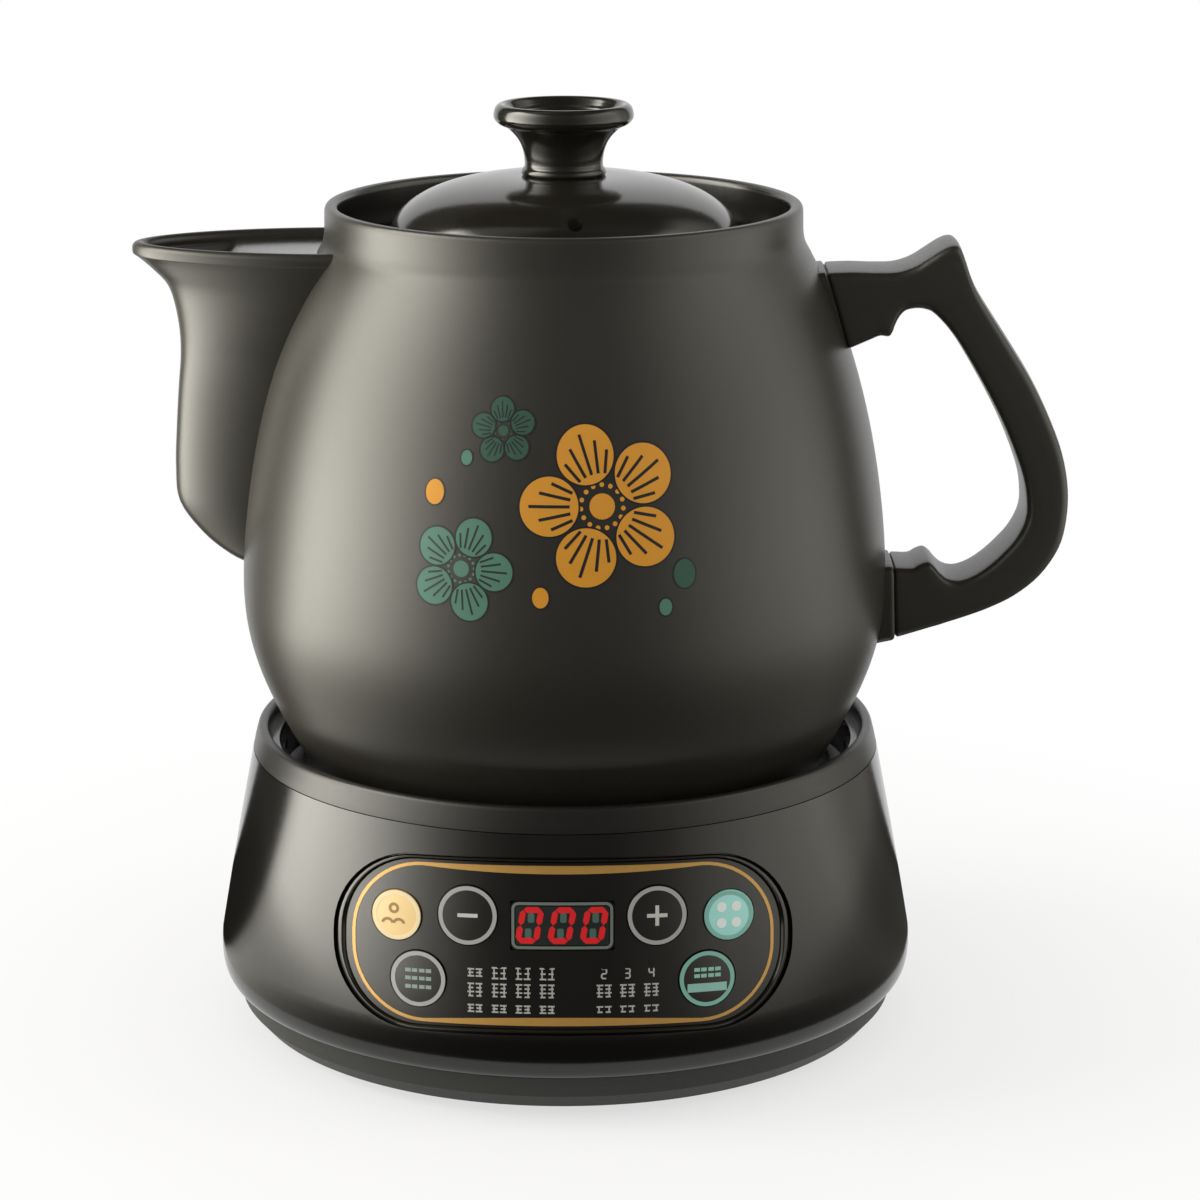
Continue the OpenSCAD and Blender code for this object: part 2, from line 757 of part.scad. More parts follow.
module heating_tube() {
    color(STEEL) {
        rotate([0, 0, 90 + tube_gap_angle])
            rotate_extrude(angle = 360 - 2 * tube_gap_angle)
                translate([tube_circle_r, tube_z])
                    circle(r = tube_r, $fn = SMALL);
        at_leads() {
            translate([0, 0, lead_bottom_z])
                cylinder(r = lead_r, h = tube_z - lead_bottom_z, $fn = SMALL);
            translate([0, 0, tube_z])
                sphere(r = tube_r, $fn = SMALL);
        }
    }
}

module plate_standoffs() {
    color(STEEL)
        at_standoffs()
            translate([0, 0, pan_floor_z])
                tube(standoff_r, plate_screw_r + plate_hole_gap, plate_z - pan_floor_z, $fn = SMALL);
}

module insulation_disc() {
    color(WHITE)
        difference() {
            translate([0, 0, insulation_z])
                cylinder(r = insulation_r, h = insulation_t);
            at_standoffs()
                translate([0, 0, insulation_z - PASS])
                    cylinder(r = plate_screw_r + plate_hole_gap, h = insulation_t + 2 * PASS, $fn = SMALL);
            at_leads()
                translate([0, 0, insulation_z - PASS])
                    cylinder(r = lead_hole_r, h = insulation_t + 2 * PASS, $fn = SMALL);
        }
}

module plate_screws() {
    color(STEEL)
        at_standoffs() {
            translate([0, 0, insulation_z - 2.2])
                cylinder(r = 4, h = 2.2, $fn = SMALL);
            translate([0, 0, insulation_z - FINE])
                cylinder(r = plate_screw_r, h = plate_z - insulation_z + plate_t - 3, $fn = SMALL);
        }
}

module thermal_fuse() {
    fuse_r = 3;
    clip = [22, 8, 1];
    color(WHITE)
        translate([0, -34, insulation_z]) {
            translate([-clip[0] / 2, -clip[1] / 2, -clip[2]])
                cube(clip);
            translate([-3, -fuse_r, -clip[2] - fuse_r])
                cube([6, 2 * fuse_r, fuse_r + FINE]);
            translate([-9, 0, -clip[2] - fuse_r])
                rotate([0, 90, 0])
                    cylinder(r = fuse_r, h = 18, $fn = SMALL);
        }
}

// ---- Temperature sensor -------------------------------------------------------------------

bracket_t = 1.2;
bracket_top_z = plate_z - 1;
sleeve_gap = 0.2;
cap_top_t = 2;
cap_wall = 1.2;
spring_r = sensor_r - cap_wall - 1.6;
spring_wire_r = 0.6;
spring_turns = 6;
spring_steps = 16;
spring_gap = 0.1;

module sensor_bracket() {
    color(STEEL)
        translate([0, 0, pan_floor_z]) {
            cylinder(r = sensor_r + 3.5, h = bracket_t);
            tube(sensor_r + sleeve_gap + 1.2, sensor_r + sleeve_gap, bracket_top_z - pan_floor_z);
        }
}

module sensor_cap() {
    skirt_z = pan_floor_z + bracket_t + sensor_travel + 1;
    color(ALLOY)
        difference() {
            translate([0, 0, skirt_z])
                cylinder(r = sensor_r, h = pot_z - skirt_z);
            translate([0, 0, skirt_z - PASS])
                cylinder(r = sensor_r - cap_wall, h = pot_z - cap_top_t - skirt_z + PASS);
        }
}

module sensor_spring() {
    low = pan_floor_z + bracket_t + spring_wire_r + spring_gap;
    high = pot_z - cap_top_t - spring_wire_r - spring_gap;
    n = spring_turns * spring_steps;
    color(STEEL)
        loft([for (i = [0:n]) let (a = 360 * i / spring_steps, z = low + (high - low) * i / n)
            [for (k = [0:5]) let (b = -60 * k, r = spring_r + spring_wire_r * cos(b))
                [r * cos(a), r * sin(a), z + spring_wire_r * sin(b)]]]);
}

// ---- Power electronics --------------------------------------------------------------------

parts_z = board_z + board_t;

module power_board() {
    color(GREEN_BOARD)
        difference() {
            translate([-board_size[0] / 2, board_mid_y - board_size[1] / 2, board_z])
                cube([board_size[0], board_size[1], board_t]);
            at_board_posts()
                translate([0, 0, board_z - PASS])
                    cylinder(r = screw_r + FINE, h = board_t + 2 * PASS, $fn = SMALL);
        }
}

module transformer() {
    core = [32, 13, 20];
    coil = [24, 24, 16];
    color(ALLOY)
        translate([-board_size[0] / 2 + core[0] / 2 + 4, board_mid_y, parts_z]) {
            translate([-core[0] / 2, -core[1] / 2, 0])
                cube(core);
            translate([-coil[0] / 2, -coil[1] / 2, 0])
                cube(coil);
        }
}

relay_size = [18, 14, 15];
capacitor_r = 8;

module relay() {
    color("#2c5f9e")
        translate([board_size[0] / 2 - relay_size[0] - 12, board_mid_y - board_size[1] / 2 + 9, parts_z])
            cube(relay_size);
}

module capacitor() {
    color(DARK)
        translate([board_size[0] / 2 - capacitor_r - 12, board_mid_y + 12, parts_z])
            cylinder(r = capacitor_r, h = 18, $fn = 48);
}

block_size = [24, 10, 10];
block_y = board_mid_y + board_size[1] / 2 - block_size[1] - 4;

module terminal_block() {
    color("#3f7f4f")
        translate([-block_size[0] / 2, block_y, parts_z])
            cube(block_size);
}

module board_screws() {
    color(STEEL) {
        at_board_posts()
            translate([0, 0, parts_z])
                mirror([0, 0, 1])
                    screw(8);
        at_panel_posts()
            translate([0, 0, -board_depth - board_t])
                screw(6);
    }
}

// ---- Mains inlet and wiring ---------------------------------------------------------------

inlet_depth = 22;
inlet_back_y = pad_y - 15;
inlet_front_y = pad_y + 7;
inlet_wall = 2;
flange_t = 2.5;
pin_xs = [-7, 0, 7];
pin_size = [4, 2];
wire_r = 1.5;

module inlet_socket() {
    color(BLACK)
        difference() {
            union() {
                translate([-inlet_w / 2, inlet_back_y, inlet_z - inlet_h / 2])
                    cube([inlet_w, inlet_front_y - inlet_back_y, inlet_h]);
                translate([-inlet_w / 2 - 9, pad_y - flange_t, inlet_z - inlet_h / 2])
                    cube([inlet_w + 18, flange_t, inlet_h]);
            }
            translate([-inlet_w / 2 + inlet_wall, inlet_back_y + 4, inlet_z - inlet_h / 2 + inlet_wall])
                cube([inlet_w - 2 * inlet_wall, inlet_front_y, inlet_h - 2 * inlet_wall]);
            for (x = pin_xs)
                translate([x - pin_size[0] / 2, inlet_back_y - PASS, inlet_z - pin_size[1] / 2])
                    cube([pin_size[0], 4 + 2 * PASS, pin_size[1]]);
            for (x = [-1, 1])
                translate([x * inlet_screw_x, pad_y - flange_t - PASS, inlet_z])
                    rotate([-90, 0, 0])
                        cylinder(r = screw_r + FINE, h = flange_t + 2 * PASS, $fn = SMALL);
        }
}

module inlet_pins() {
    color(STEEL)
        for (x = pin_xs)
            translate([x - pin_size[0] / 2, inlet_back_y - 3, inlet_z - pin_size[1] / 2])
                cube([pin_size[0], inlet_front_y - inlet_back_y - 2, pin_size[1]]);
}

module inlet_screws() {
    color(STEEL)
        for (x = [-1, 1])
            translate([x * inlet_screw_x, pad_y - flange_t, inlet_z])
                rotate([-90, 0, 0])
                    screw(flange_t + inlet_screw_depth - 1);
}

// A wire that runs along straight stretches with round corners
module wire(route) {
    for (i = [0:len(route) - 2]) {
        step = route[i + 1] - route[i];
        run = norm(step);
        translate(route[i])
            rotate([0, acos(step[2] / run), atan2(step[1], step[0])])
                cylinder(r = wire_r, h = run, $fn = 24);
        if (i > 0)
            translate(route[i])
                sphere(r = wire_r, $fn = 24);
    }
}

module mains_wires() {
    top = parts_z + block_size[2];
    color(COPPER)
        for (x = pin_xs)
            wire([[x, inlet_back_y - 3, inlet_z], [x, block_y + block_size[1] / 2, inlet_z],
                [x, block_y + block_size[1] / 2, top]]);
}

module heater_wires() {
    color(WHITE)
        at_leads()
            wire([[0, 0, lead_bottom_z], [0, 0, parts_z]]);
}

module ribbon_cable() {
    t = 1;
    w = 18;
    rise_z = parts_z + 4;
    from_y = board_mid_y - board_size[1] / 2 + 3;
    target = [-panel_r + (board_depth + board_t) * cos(panel_tilt) - 16 * sin(panel_tilt),
        panel_z - (board_depth + board_t) * sin(panel_tilt) - 16 * cos(panel_tilt)];
    color(GREY)
        translate([-w / 2, 0, 0])
            rotate([90, 0, 90])
                linear_extrude(w)
                    polygon([[from_y, parts_z], [from_y, rise_z], [target[0] + 4, rise_z],
                        [target[0] + 4, target[1]], [target[0] + FINE, target[1]],
                        [target[0] + FINE, target[1] + t], [target[0] + 4 + t, target[1] + t],
                        [target[0] + 4 + t, rise_z + t], [from_y + t, rise_z + t], [from_y + t, parts_z]]);
}

// ---- Control panel ------------------------------------------------------------------------

panel_r = skirt_r_at(panel_z);
panel_tilt = atan2(skirt_r_at(panel_z - 22) - skirt_r_at(panel_z + 22), 44);
panel_back = 34;
bezel_gap = 0.2;
fascia_top = 1.4;
fascia_t = 2.5;
flange_w = 3;
gilt_top = 0.7;
gilt_corner = panel_corner - (gilt_inset + gilt_edge) / 2 + 1;
fascia_corner = panel_corner - (bezel_w + bezel_edge) / 2 - bezel_gap;

// The panel's own frame: x along the panel, y up its slope, z out of it
module panel_frame() {
    translate([0, -panel_r, panel_z])
        rotate([90 - panel_tilt, 0, 0])
            children();
}

// How far the round skirt falls back from the panel's middle at a distance x
function sag(x) = (panel_r - sqrt(panel_r * panel_r - x * x)) * cos(panel_tilt);

board_half_w = panel_w / 2 - 16;
board_depth = sag(board_half_w) + board_room;

// Place along the panel's slope of a point seen at x and a height above the table
function slope_y(x, z) = (z - panel_z + sag(x) * sin(panel_tilt)) / cos(panel_tilt);

module panel_prism(w, h, r) {
    panel_frame()
        translate([0, panel_lift, -panel_back])
            linear_extrude(2 * panel_back)
                rounded_rect(w, h, r);
}

module panel_cut(w, h, r) {
    panel_prism(w, h, r);
}

// A ring on the panel between two rounded outlines and two insets: line and edge are its
// widths at the panel's ends and above and below the keys
module panel_ring(w, h, r, line, edge, near, far) {
    intersection() {
        skirt_skin(near, far);
        difference() {
            panel_prism(w, h, r);
            panel_prism(w - 2 * line, h - 2 * edge, r - (line + edge) / 2);
        }
    }
}

module panel_bezel() {
    color(BLACK) {
        panel_ring(panel_w - 2 * bezel_gap, panel_h - 2 * bezel_gap, panel_corner - bezel_gap,
            bezel_w - bezel_gap, bezel_edge - bezel_gap, 0.4, shell_wall + 1.2);
        panel_ring(panel_w + 2 * flange_w, panel_h + 2 * flange_w, panel_corner + flange_w,
            flange_w + bezel_w, flange_w + bezel_edge, shell_wall + 0.1, shell_wall + 1.2);
    }
}

module gilt_trim() {
    color(GILT)
        panel_ring(panel_w - 2 * gilt_inset, panel_h - 2 * gilt_edge, gilt_corner, gilt_w, gilt_w, gilt_top,
            fascia_top);
}

inner_key_x = window_w / 2 + 13;
outer_key_x = panel_w / 2 - 21;
lower_key_x = panel_w / 2 - 28;
stem_shift = 4;

// Each key: x, height above the table, radius, and how far its stem stands to the side
KEY_MINUS = [-inner_key_x, panel_z + 10.6, key_r, 0];
KEY_PLUS = [inner_key_x, panel_z + 10.6, key_r, 0];
KEY_AMBER = [-outer_key_x, panel_z + 7.7, filled_key_r, stem_shift];
KEY_AQUA = [outer_key_x, panel_z + 7.7, filled_key_r, -stem_shift];
KEY_LEFT = [-lower_key_x, panel_z - 11.2, lower_key_r, 0];
KEY_RIGHT = [lower_key_x, panel_z - 11.2, lower_key_r, 0];
KEYS = [KEY_MINUS, KEY_PLUS, KEY_AMBER, KEY_AQUA, KEY_LEFT, KEY_RIGHT];

window_z = panel_z + 9.6;
panel_posts = [[-42, 20.5], [42, 20.5], [-32, -19], [32, -19]];
panel_post_r = 3;
light_xs = [-27.7, -20, -12.4, -4.8, 13.2, 20.6, 28.2];
light_z = panel_z - 4.3;

module at_key(key) {
    panel_frame()
        translate([key[0], slope_y(key[0], key[1]), 0])
            children();
}

module at_stem(key) {
    at_key(key)
        translate([key[3], 0, 0])
            children();
}

module at_panel_posts() {
    panel_frame()
        for (p = panel_posts)
            translate([p[0], p[1], 0])
                children();
}

module at_window() {
    panel_frame()
        translate([0, slope_y(0, window_z), 0])
            children();
}

module at_lights() {
    for (x = light_xs)
        panel_frame()
            translate([x, slope_y(x, light_z), 0])
                children();
}

module panel_fascia() {
    w = panel_w - 2 * bezel_w - 2 * bezel_gap;
    h = panel_h - 2 * bezel_edge - 2 * bezel_gap;
    color(BLACK)
        difference() {
            union() {
                intersection() {
                    skirt_skin(fascia_top, fascia_top + fascia_t);
                    panel_prism(w, h, fascia_corner);
                }
                intersection() {
                    at_panel_posts()
                        translate([0, 0, -board_depth])
                            cylinder(r = panel_post_r, h = board_depth, $fn = SMALL);
                    skirt_solid(fascia_top + fascia_t / 2);
                }
            }
            for (key = KEYS)
                at_key(key)
                    translate([0, 0, -panel_back])
                        cylinder(r = key[2] + key_gap, h = 2 * panel_back, $fn = 64);
            at_window()
                translate([-window_w / 2 - FINE, -window_h / 2 - FINE, -6])
                    cube([window_w + 2 * FINE, window_h + 2 * FINE, 12]);
            at_lights()
                translate([0, 0, -board_depth / 2])
                    cylinder(r = light_r + 0.1, h = board_depth, $fn = SMALL);
            at_panel_posts()
                translate([0, 0, -board_depth - PASS])
                    cylinder(r = pilot_r, h = 6 + PASS, $fn = SMALL);
        }
}

module display_lens() {
    color("#3a1512")
        intersection() {
            skirt_skin(fascia_top - 0.4, fascia_top + fascia_t);
            at_window()
                translate([-window_w / 2, -window_h / 2, -8])
                    cube([window_w, window_h, 16]);
        }
}

module_w = window_w - 1;
module_h = window_h - 1;
module_t = 5.4;
module_top = 6;

module led_display() {
    color(WHITE)
        at_window()
            translate([-module_w / 2, -module_h / 2, -module_top - module_t])
                cube([module_w, module_h, module_t]);
}

module display_spacer() {
    h = board_depth - module_top - module_t;
    color(DARK)
        at_window()
            difference() {
                translate([-module_w / 2, -module_h / 2, -board_depth])
                    cube([module_w, module_h, h]);
                translate([-module_w / 2 + 2, -module_h / 2 + 2, -board_depth - PASS])
                    cube([module_w - 4, module_h - 4, h + 2 * PASS]);
            }
}

module light_guides() {
    color(WHITE)
        intersection() {
            at_lights()
                translate([0, 0, -board_depth])
                    cylinder(r = light_r, h = board_depth + 4, $fn = SMALL);
            skirt_solid(fascia_top - 0.1);
        }
}

module control_board() {
    low = panel_lift - panel_h / 2 + 3.2;
    high = panel_lift + panel_h / 2 - 7.1;
    color(GREEN_BOARD)
        difference() {
            panel_frame()
                translate([-board_half_w, low, -board_depth - board_t])
                    cube([2 * board_half_w, high - low, board_t]);
            at_panel_posts()
                translate([0, 0, -board_depth - board_t - PASS])
                    cylinder(r = screw_r + FINE, h = board_t + 2 * PASS, $fn = SMALL);
        }
}

switch_size = 6.4;
switch_h = 3.4;
stem_r = 1.6;
stem_in = 0.7;

module key_switches() {
    color(DARK)
        for (key = KEYS)
            at_stem(key)
                difference() {
                    translate([-switch_size / 2, -switch_size / 2, -board_depth])
                        cube([switch_size, switch_size, switch_h]);
                    translate([0, 0, -board_depth + switch_h - 2.2])
                        cylinder(r = stem_r + 0.2, h = 2.2 + PASS, $fn = SMALL);
                }
}

// A key: a cap that follows the panel, a lip behind the fascia and a stem down to its switch
module key_cap(key, shade) {
    lip_gap = 0.25;
    color(shade)
        union() {
            intersection() {
                at_key(key)
                    translate([0, 0, -panel_back])
                        cylinder(r = key[2], h = 2 * panel_back, $fn = 64);
                skirt_skin(fascia_top - 0.9, fascia_top + fascia_t + lip_gap + 1);
            }
            intersection() {
                at_key(key)
                    translate([0, 0, -panel_back])
                        cylinder(r = key[2] + 1, h = 2 * panel_back, $fn = 64);
                skirt_skin(fascia_top + fascia_t + lip_gap, fascia_top + fascia_t + lip_gap + 1);
            }
            at_stem(key)
                translate([0, 0, -board_depth + switch_h - stem_in])
                    cylinder(r = stem_r, h = board_depth - switch_h + stem_in - sag(key[0]) - fascia_top - 2,
                        $fn = SMALL);
        }
}

module key_minus() {
    key_cap(KEY_MINUS, GREY);
}

module key_plus() {
    key_cap(KEY_PLUS, GREY);
}

module key_amber() {
    key_cap(KEY_AMBER, AMBER);
}

module key_aqua() {
    key_cap(KEY_AQUA, AQUA);
}

module key_left() {
    key_cap(KEY_LEFT, GREY);
}

module key_right() {
    key_cap(KEY_RIGHT, GREY);
}

pot_body();
spout();
pot_handle();
lid();
lid_knob();
outer_shell();
top_ring();
bottom_housing();
rubber_feet();
housing_screws();
reflector_pan();
heating_plate();
heating_tube();
plate_standoffs();
plate_screws();
insulation_disc();
thermal_fuse();
sensor_bracket();
sensor_spring();
sensor_cap();
power_board();
transformer();
relay();
capacitor();
terminal_block();
inlet_socket();
inlet_pins();
inlet_screws();
mains_wires();
heater_wires();
ribbon_cable();
panel_bezel();
panel_fascia();
gilt_trim();
display_lens();
led_display();
display_spacer();
light_guides();
control_board();
board_screws();
key_switches();
key_minus();
key_plus();
key_amber();
key_aqua();
key_left();
key_right();
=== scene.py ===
"""Dresses an electric herbal decoction pot: a glazed ceramic pot with a beaked spout, a loop handle and
a lift-off lid, standing in a glossy round heating base with a curved control panel.
Lengths are millimetres until a point is made, and every made point is in metres."""

import math
from bisect import bisect_right

import bmesh
import bpy
from bpy.props import FloatProperty, FloatVectorProperty, PointerProperty
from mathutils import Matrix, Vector


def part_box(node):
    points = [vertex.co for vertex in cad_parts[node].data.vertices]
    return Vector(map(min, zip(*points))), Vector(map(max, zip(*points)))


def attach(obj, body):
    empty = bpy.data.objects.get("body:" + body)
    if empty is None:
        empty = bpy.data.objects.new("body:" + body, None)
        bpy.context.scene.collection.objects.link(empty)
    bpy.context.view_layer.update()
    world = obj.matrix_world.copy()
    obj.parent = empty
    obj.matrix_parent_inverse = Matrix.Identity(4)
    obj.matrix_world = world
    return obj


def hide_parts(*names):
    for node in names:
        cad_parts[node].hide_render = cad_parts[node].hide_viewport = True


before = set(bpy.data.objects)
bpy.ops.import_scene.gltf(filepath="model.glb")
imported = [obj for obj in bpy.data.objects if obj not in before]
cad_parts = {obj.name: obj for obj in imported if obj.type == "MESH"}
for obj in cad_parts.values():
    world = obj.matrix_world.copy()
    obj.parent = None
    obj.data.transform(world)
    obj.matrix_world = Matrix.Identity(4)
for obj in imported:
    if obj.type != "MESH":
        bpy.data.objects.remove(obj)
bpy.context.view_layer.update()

bl_info = {
    "name": "Herbal Decoction Pot",
    "version": (1, 0, 0),
    "blender": (4, 5, 0),
    "location": "View3D > Sidebar > Decoction Pot",
    "description": "Makes the shells, prints, keys and finishes of an electric herbal decoction pot",
    "category": "Add Mesh",
}

MM = 0.001
WELD = 0.000002
SHARP = math.radians(36)
TURN = 192
QUARTER = math.pi / 2


# ---- Sizes read from the frame

def low(node):
    """Lowest corner of a frame node, in millimetres."""
    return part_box(node)[0] / MM


def high(node):
    """Highest corner of a frame node, in millimetres."""
    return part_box(node)[1] / MM


def srgb(code):
    """Linear colour of an sRGB hex value."""
    parts = [int(code[i:i + 2], 16) / 255 for i in (1, 3, 5)]
    return tuple(c / 12.92 if c <= 0.04045 else ((c + 0.055) / 1.055) ** 2.4 for c in parts) + (1.0,)


def length(label, note, value):
    """A length property whose default is given in millimetres."""
    return FloatProperty(name=label, description=note, default=value * MM, unit="LENGTH", precision=4)


def tint(label, note, code):
    """A colour property whose default is an sRGB hex value."""
    return FloatVectorProperty(name=label, description=note, default=srgb(code), size=4,
                               min=0, max=1, subtype="COLOR")


class PotSizes(bpy.types.PropertyGroup):
    """Sizes of the pieces that are made over the frame"""
    foot_r: length("Foot radius", "Radius of the pot's flat bottom", 65)
    neck_r: length("Neck radius", "Outer radius of the pot's neck", 79)
    mouth_r: length("Mouth radius", "Radius of the mouth inside the rim", 74.5)
    pot_wall: length("Pot wall", "Thickness of the pot's wall", 7)
    neck_h: length("Neck height", "Height of the neck and rim above the shoulder", 15.3)
    belly_h: length("Belly height", "Height of the widest place above the pot's bottom", 90)
    ledge_r: length("Ledge radius", "Inner radius of the ledge that holds the lid", 63)
    spout_wall: length("Spout wall", "Thickness of the spout's wall", 5)
    beak_open: length("Beak opening", "Length of the open beak in front of the bridge", 31)
    shell_wall: length("Shell wall", "Wall of the base's outer shell", 3)
    deck_z: length("Deck height", "Height of the base's deck above the table", 96.5)
    bezel_w: length("Bezel width", "Width of the bezel at the ends of the control panel", 4.2)
    bezel_edge: length("Bezel edge", "Width of the bezel above and below the keys", 2)
    gilt_w: length("Gilt width", "Width of the gilt line on the panel", 1.05)
    print_t: length("Print thickness", "How far printed marks stand above their surface", 0.08)


class PotColours(bpy.types.PropertyGroup):
    """Colours of the finishes that show"""
    glaze: tint("Glaze", "Deep brown-black of the ceramic glaze", "#2a2721")
    shell: tint("Shell", "Black of the polished base", "#131210")
    housing: tint("Housing", "Grey-black of the moulded lower housing", "#24241f")
    gilt: tint("Gilt", "Gold of the printed line", "#c4954a")
    gold_print: tint("Gold print", "Ochre of the large blossom", "#e39a1c")
    green_print: tint("Green print", "Sea green of the middle blossom", "#4f7f6b")
    dark_print: tint("Dark print", "Deep green of the small blossom", "#2f5646")
    amber: tint("Amber key", "Amber of the left filled key", "#f3cf8a")
    aqua: tint("Aqua key", "Aqua of the right filled key", "#a2e2d8")
    ring: tint("Key ring", "Grey of the rings round the keys", "#a9a9a6")
    marks: tint("Marks", "Pale grey of the panel's printed marks", "#b5b5ae")
    digits: tint("Digits", "Red of the lit digits", "#c40c12")


def sizes():
    """The sizes that a user may change, in millimetres."""
    group = bpy.context.scene.pot_sizes
    return {name: getattr(group, name) / MM for name in PotSizes.__annotations__}


# ---- Points and curves

def point(x, y, z):
    """A point in metres, from millimetres."""
    return Vector((x, y, z)) * MM


def angles(steps, sweep=math.tau):
    """Evenly spaced angles over a sweep, with both its ends."""
    return [sweep * i / steps for i in range(steps + 1)]


def polar(r, a, centre=(0, 0)):
    """The point at a radius and an angle round a centre."""
    return centre[0] + r * math.cos(a), centre[1] + r * math.sin(a)


def about(x, y, *steps):
    """Points given by their steps from one point."""
    return [(x + a, y + b) for a, b in steps]


def bezier(points, steps):
    """Points of a cubic curve with four control points."""
    a, b, c, d = points
    made = []
    for i in range(steps + 1):
        t = i / steps
        s = 1 - t
        made.append(tuple(s ** 3 * a[k] + 3 * s * s * t * b[k] + 3 * s * t * t * c[k] + t ** 3 * d[k]
                          for k in range(2)))
    return made


def smooth_rows(rows, steps):
    """Stations joined by a smooth curve that passes through each of them."""
    made = []
    last = len(rows) - 1
    for i in range(last):
        a, b, c, d = rows[max(i - 1, 0)], rows[i], rows[i + 1], rows[min(i + 2, last)]
        for k in range(steps):
            t = k / steps
            made.append([0.5 * (2 * q + (r - p) * t + (2 * p - 5 * q + 4 * r - s) * t * t
                                + (3 * q - p - 3 * r + s) * t ** 3)
                         for p, q, r, s in zip(a, b, c, d)])
    return made + [list(rows[last])]


def lookup(table, z):
    """Radius at a height, from a list of radius and height pairs that rises."""
    heights = [p[1] for p in table]
    i = min(max(bisect_right(heights, z), 1), len(table) - 1)
    (r0, z0), (r1, z1) = table[i - 1], table[i]
    t = min(max((z - z0) / (z1 - z0), 0), 1)
    return r0 + (r1 - r0) * t


def circle(centre, radius, steps=48, squash=1.0, sweep=math.tau):
    """Points round a circle, or along the first part of it."""
    gaps = steps if sweep == math.tau else steps - 1
    return [(centre[0] + radius * math.cos(a), centre[1] + radius * squash * math.sin(a))
            for a in angles(gaps, sweep)[:steps]]


def rounded_rect(w, h, r, centre=(0, 0), long_steps=44, short_steps=6, corner_steps=14):
    """Points round a rectangle with round corners, close enough together to bend over a curve."""
    made = []
    x, y = w / 2 - r, h / 2 - r
    corners = [(x, y), (-x, y), (-x, -y), (x, -y)]
    for i, corner in enumerate(corners):
        made += [polar(r, math.radians(90 * i + 90 * k / corner_steps), corner)
                 for k in range(corner_steps)]
        a = math.radians(90 * i + 90)
        (u0, v0), (u1, v1) = polar(r, a, corner), polar(r, a, corners[(i + 1) % 4])
        steps = long_steps if i % 2 == 0 else short_steps
        made += [(u0 + (u1 - u0) * k / steps, v0 + (v1 - v0) * k / steps) for k in range(steps)]
    return [(u + centre[0], v + centre[1]) for u, v in made]


# ---- Meshes

def loft(rings, closed=True, caps=True):
    """Quads through rings that all hold the same number of points."""
    count = len(rings[0])
    verts = [p for ring in rings for p in ring]
    faces = []
    for i in range(len(rings) - 1):
        for j in range(count if closed else count - 1):
            k = (j + 1) % count
            faces.append((i * count + j, i * count + k, (i + 1) * count + k, (i + 1) * count + j))
    if caps:
        faces.append(tuple(range(count)))
        faces.append(tuple(range(len(verts) - count, len(verts))))
    return verts, faces


def hoop(rings):
    """Quads through rings whose last one joins the first."""
    return loft(rings + rings[:1], caps=False)


def lathe(outline, steps=TURN):
    """A closed outline of radius and height, turned round the pot's axis."""
    return hoop([[point(*polar(r, a), z) for a in angles(steps)[:-1]] for r, z in outline])


def block(centre, size):
    """A plain box, used to cut openings."""
    corners = [point(*(c + side * w / 2 for c, side, w in zip(centre, (x, y, z), size)))
               for z in (-1, 1) for x, y in ((-1, -1), (1, -1), (1, 1), (-1, 1))]
    return loft([corners[:4], corners[4:]])


def rod(start, end, radius, sides=48):
    """A round bar between two points, used to cut holes."""
    start, end = Vector(start), Vector(end)
    along = (end - start).normalized()
    across = along.orthogonal().normalized()
    other = along.cross(across)
    return loft([[(p + (across * math.cos(a) + other * math.sin(a)) * radius) * MM
                  for a in angles(sides)[:-1]] for p in (start, end)])


def mesh_object(name, shapes):
    """A linked mesh object made of shapes, welded, with its faces turned outward."""
    bm = bmesh.new()
    for verts, faces in shapes:
        made = [bm.verts.new(v) for v in verts]
        for face in faces:
            bm.faces.new([made[i] for i in face])
    bmesh.ops.remove_doubles(bm, verts=bm.verts, dist=WELD)
    bmesh.ops.recalc_face_normals(bm, faces=bm.faces)
    mesh = bpy.data.meshes.new(name)
    bm.to_mesh(mesh)
    bm.free()
    made = bpy.data.objects.new(name, mesh)
    bpy.context.scene.collection.objects.link(made)
    return made


def cut(target, shapes):
    """Takes the shapes away from a mesh object, and keeps only the result."""
    tool = mesh_object("cutter", shapes)
    modifier = target.modifiers.new("cut", "BOOLEAN")
    modifier.object = tool
    modifier.operation = "DIFFERENCE"
    modifier.solver = "EXACT"
    evaluated = target.evaluated_get(bpy.context.evaluated_depsgraph_get())
    mesh = bpy.data.meshes.new_from_object(evaluated)
    target.modifiers.clear()
    target.data = mesh
    bpy.data.objects.remove(tool)


def piece(name, shapes, coat, body, nodes=(), holes=()):
    """A new piece with its holes, finish and shading, on its body, and the nodes that it stands for."""
    made = mesh_object(name, shapes)
    if holes:
        cut(made, holes)
    made.data.materials.clear()
    made.data.materials.append(coat)
    made.data.shade_smooth()
    made.data.set_sharp_from_angle(angle=SHARP)
    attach(made, body)
    if nodes:
        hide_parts(*nodes)
    return made


# ---- Thin forms that lie on a surface
# place(u, v, rise) gives the point over u, v on a surface, rise millimetres above it.

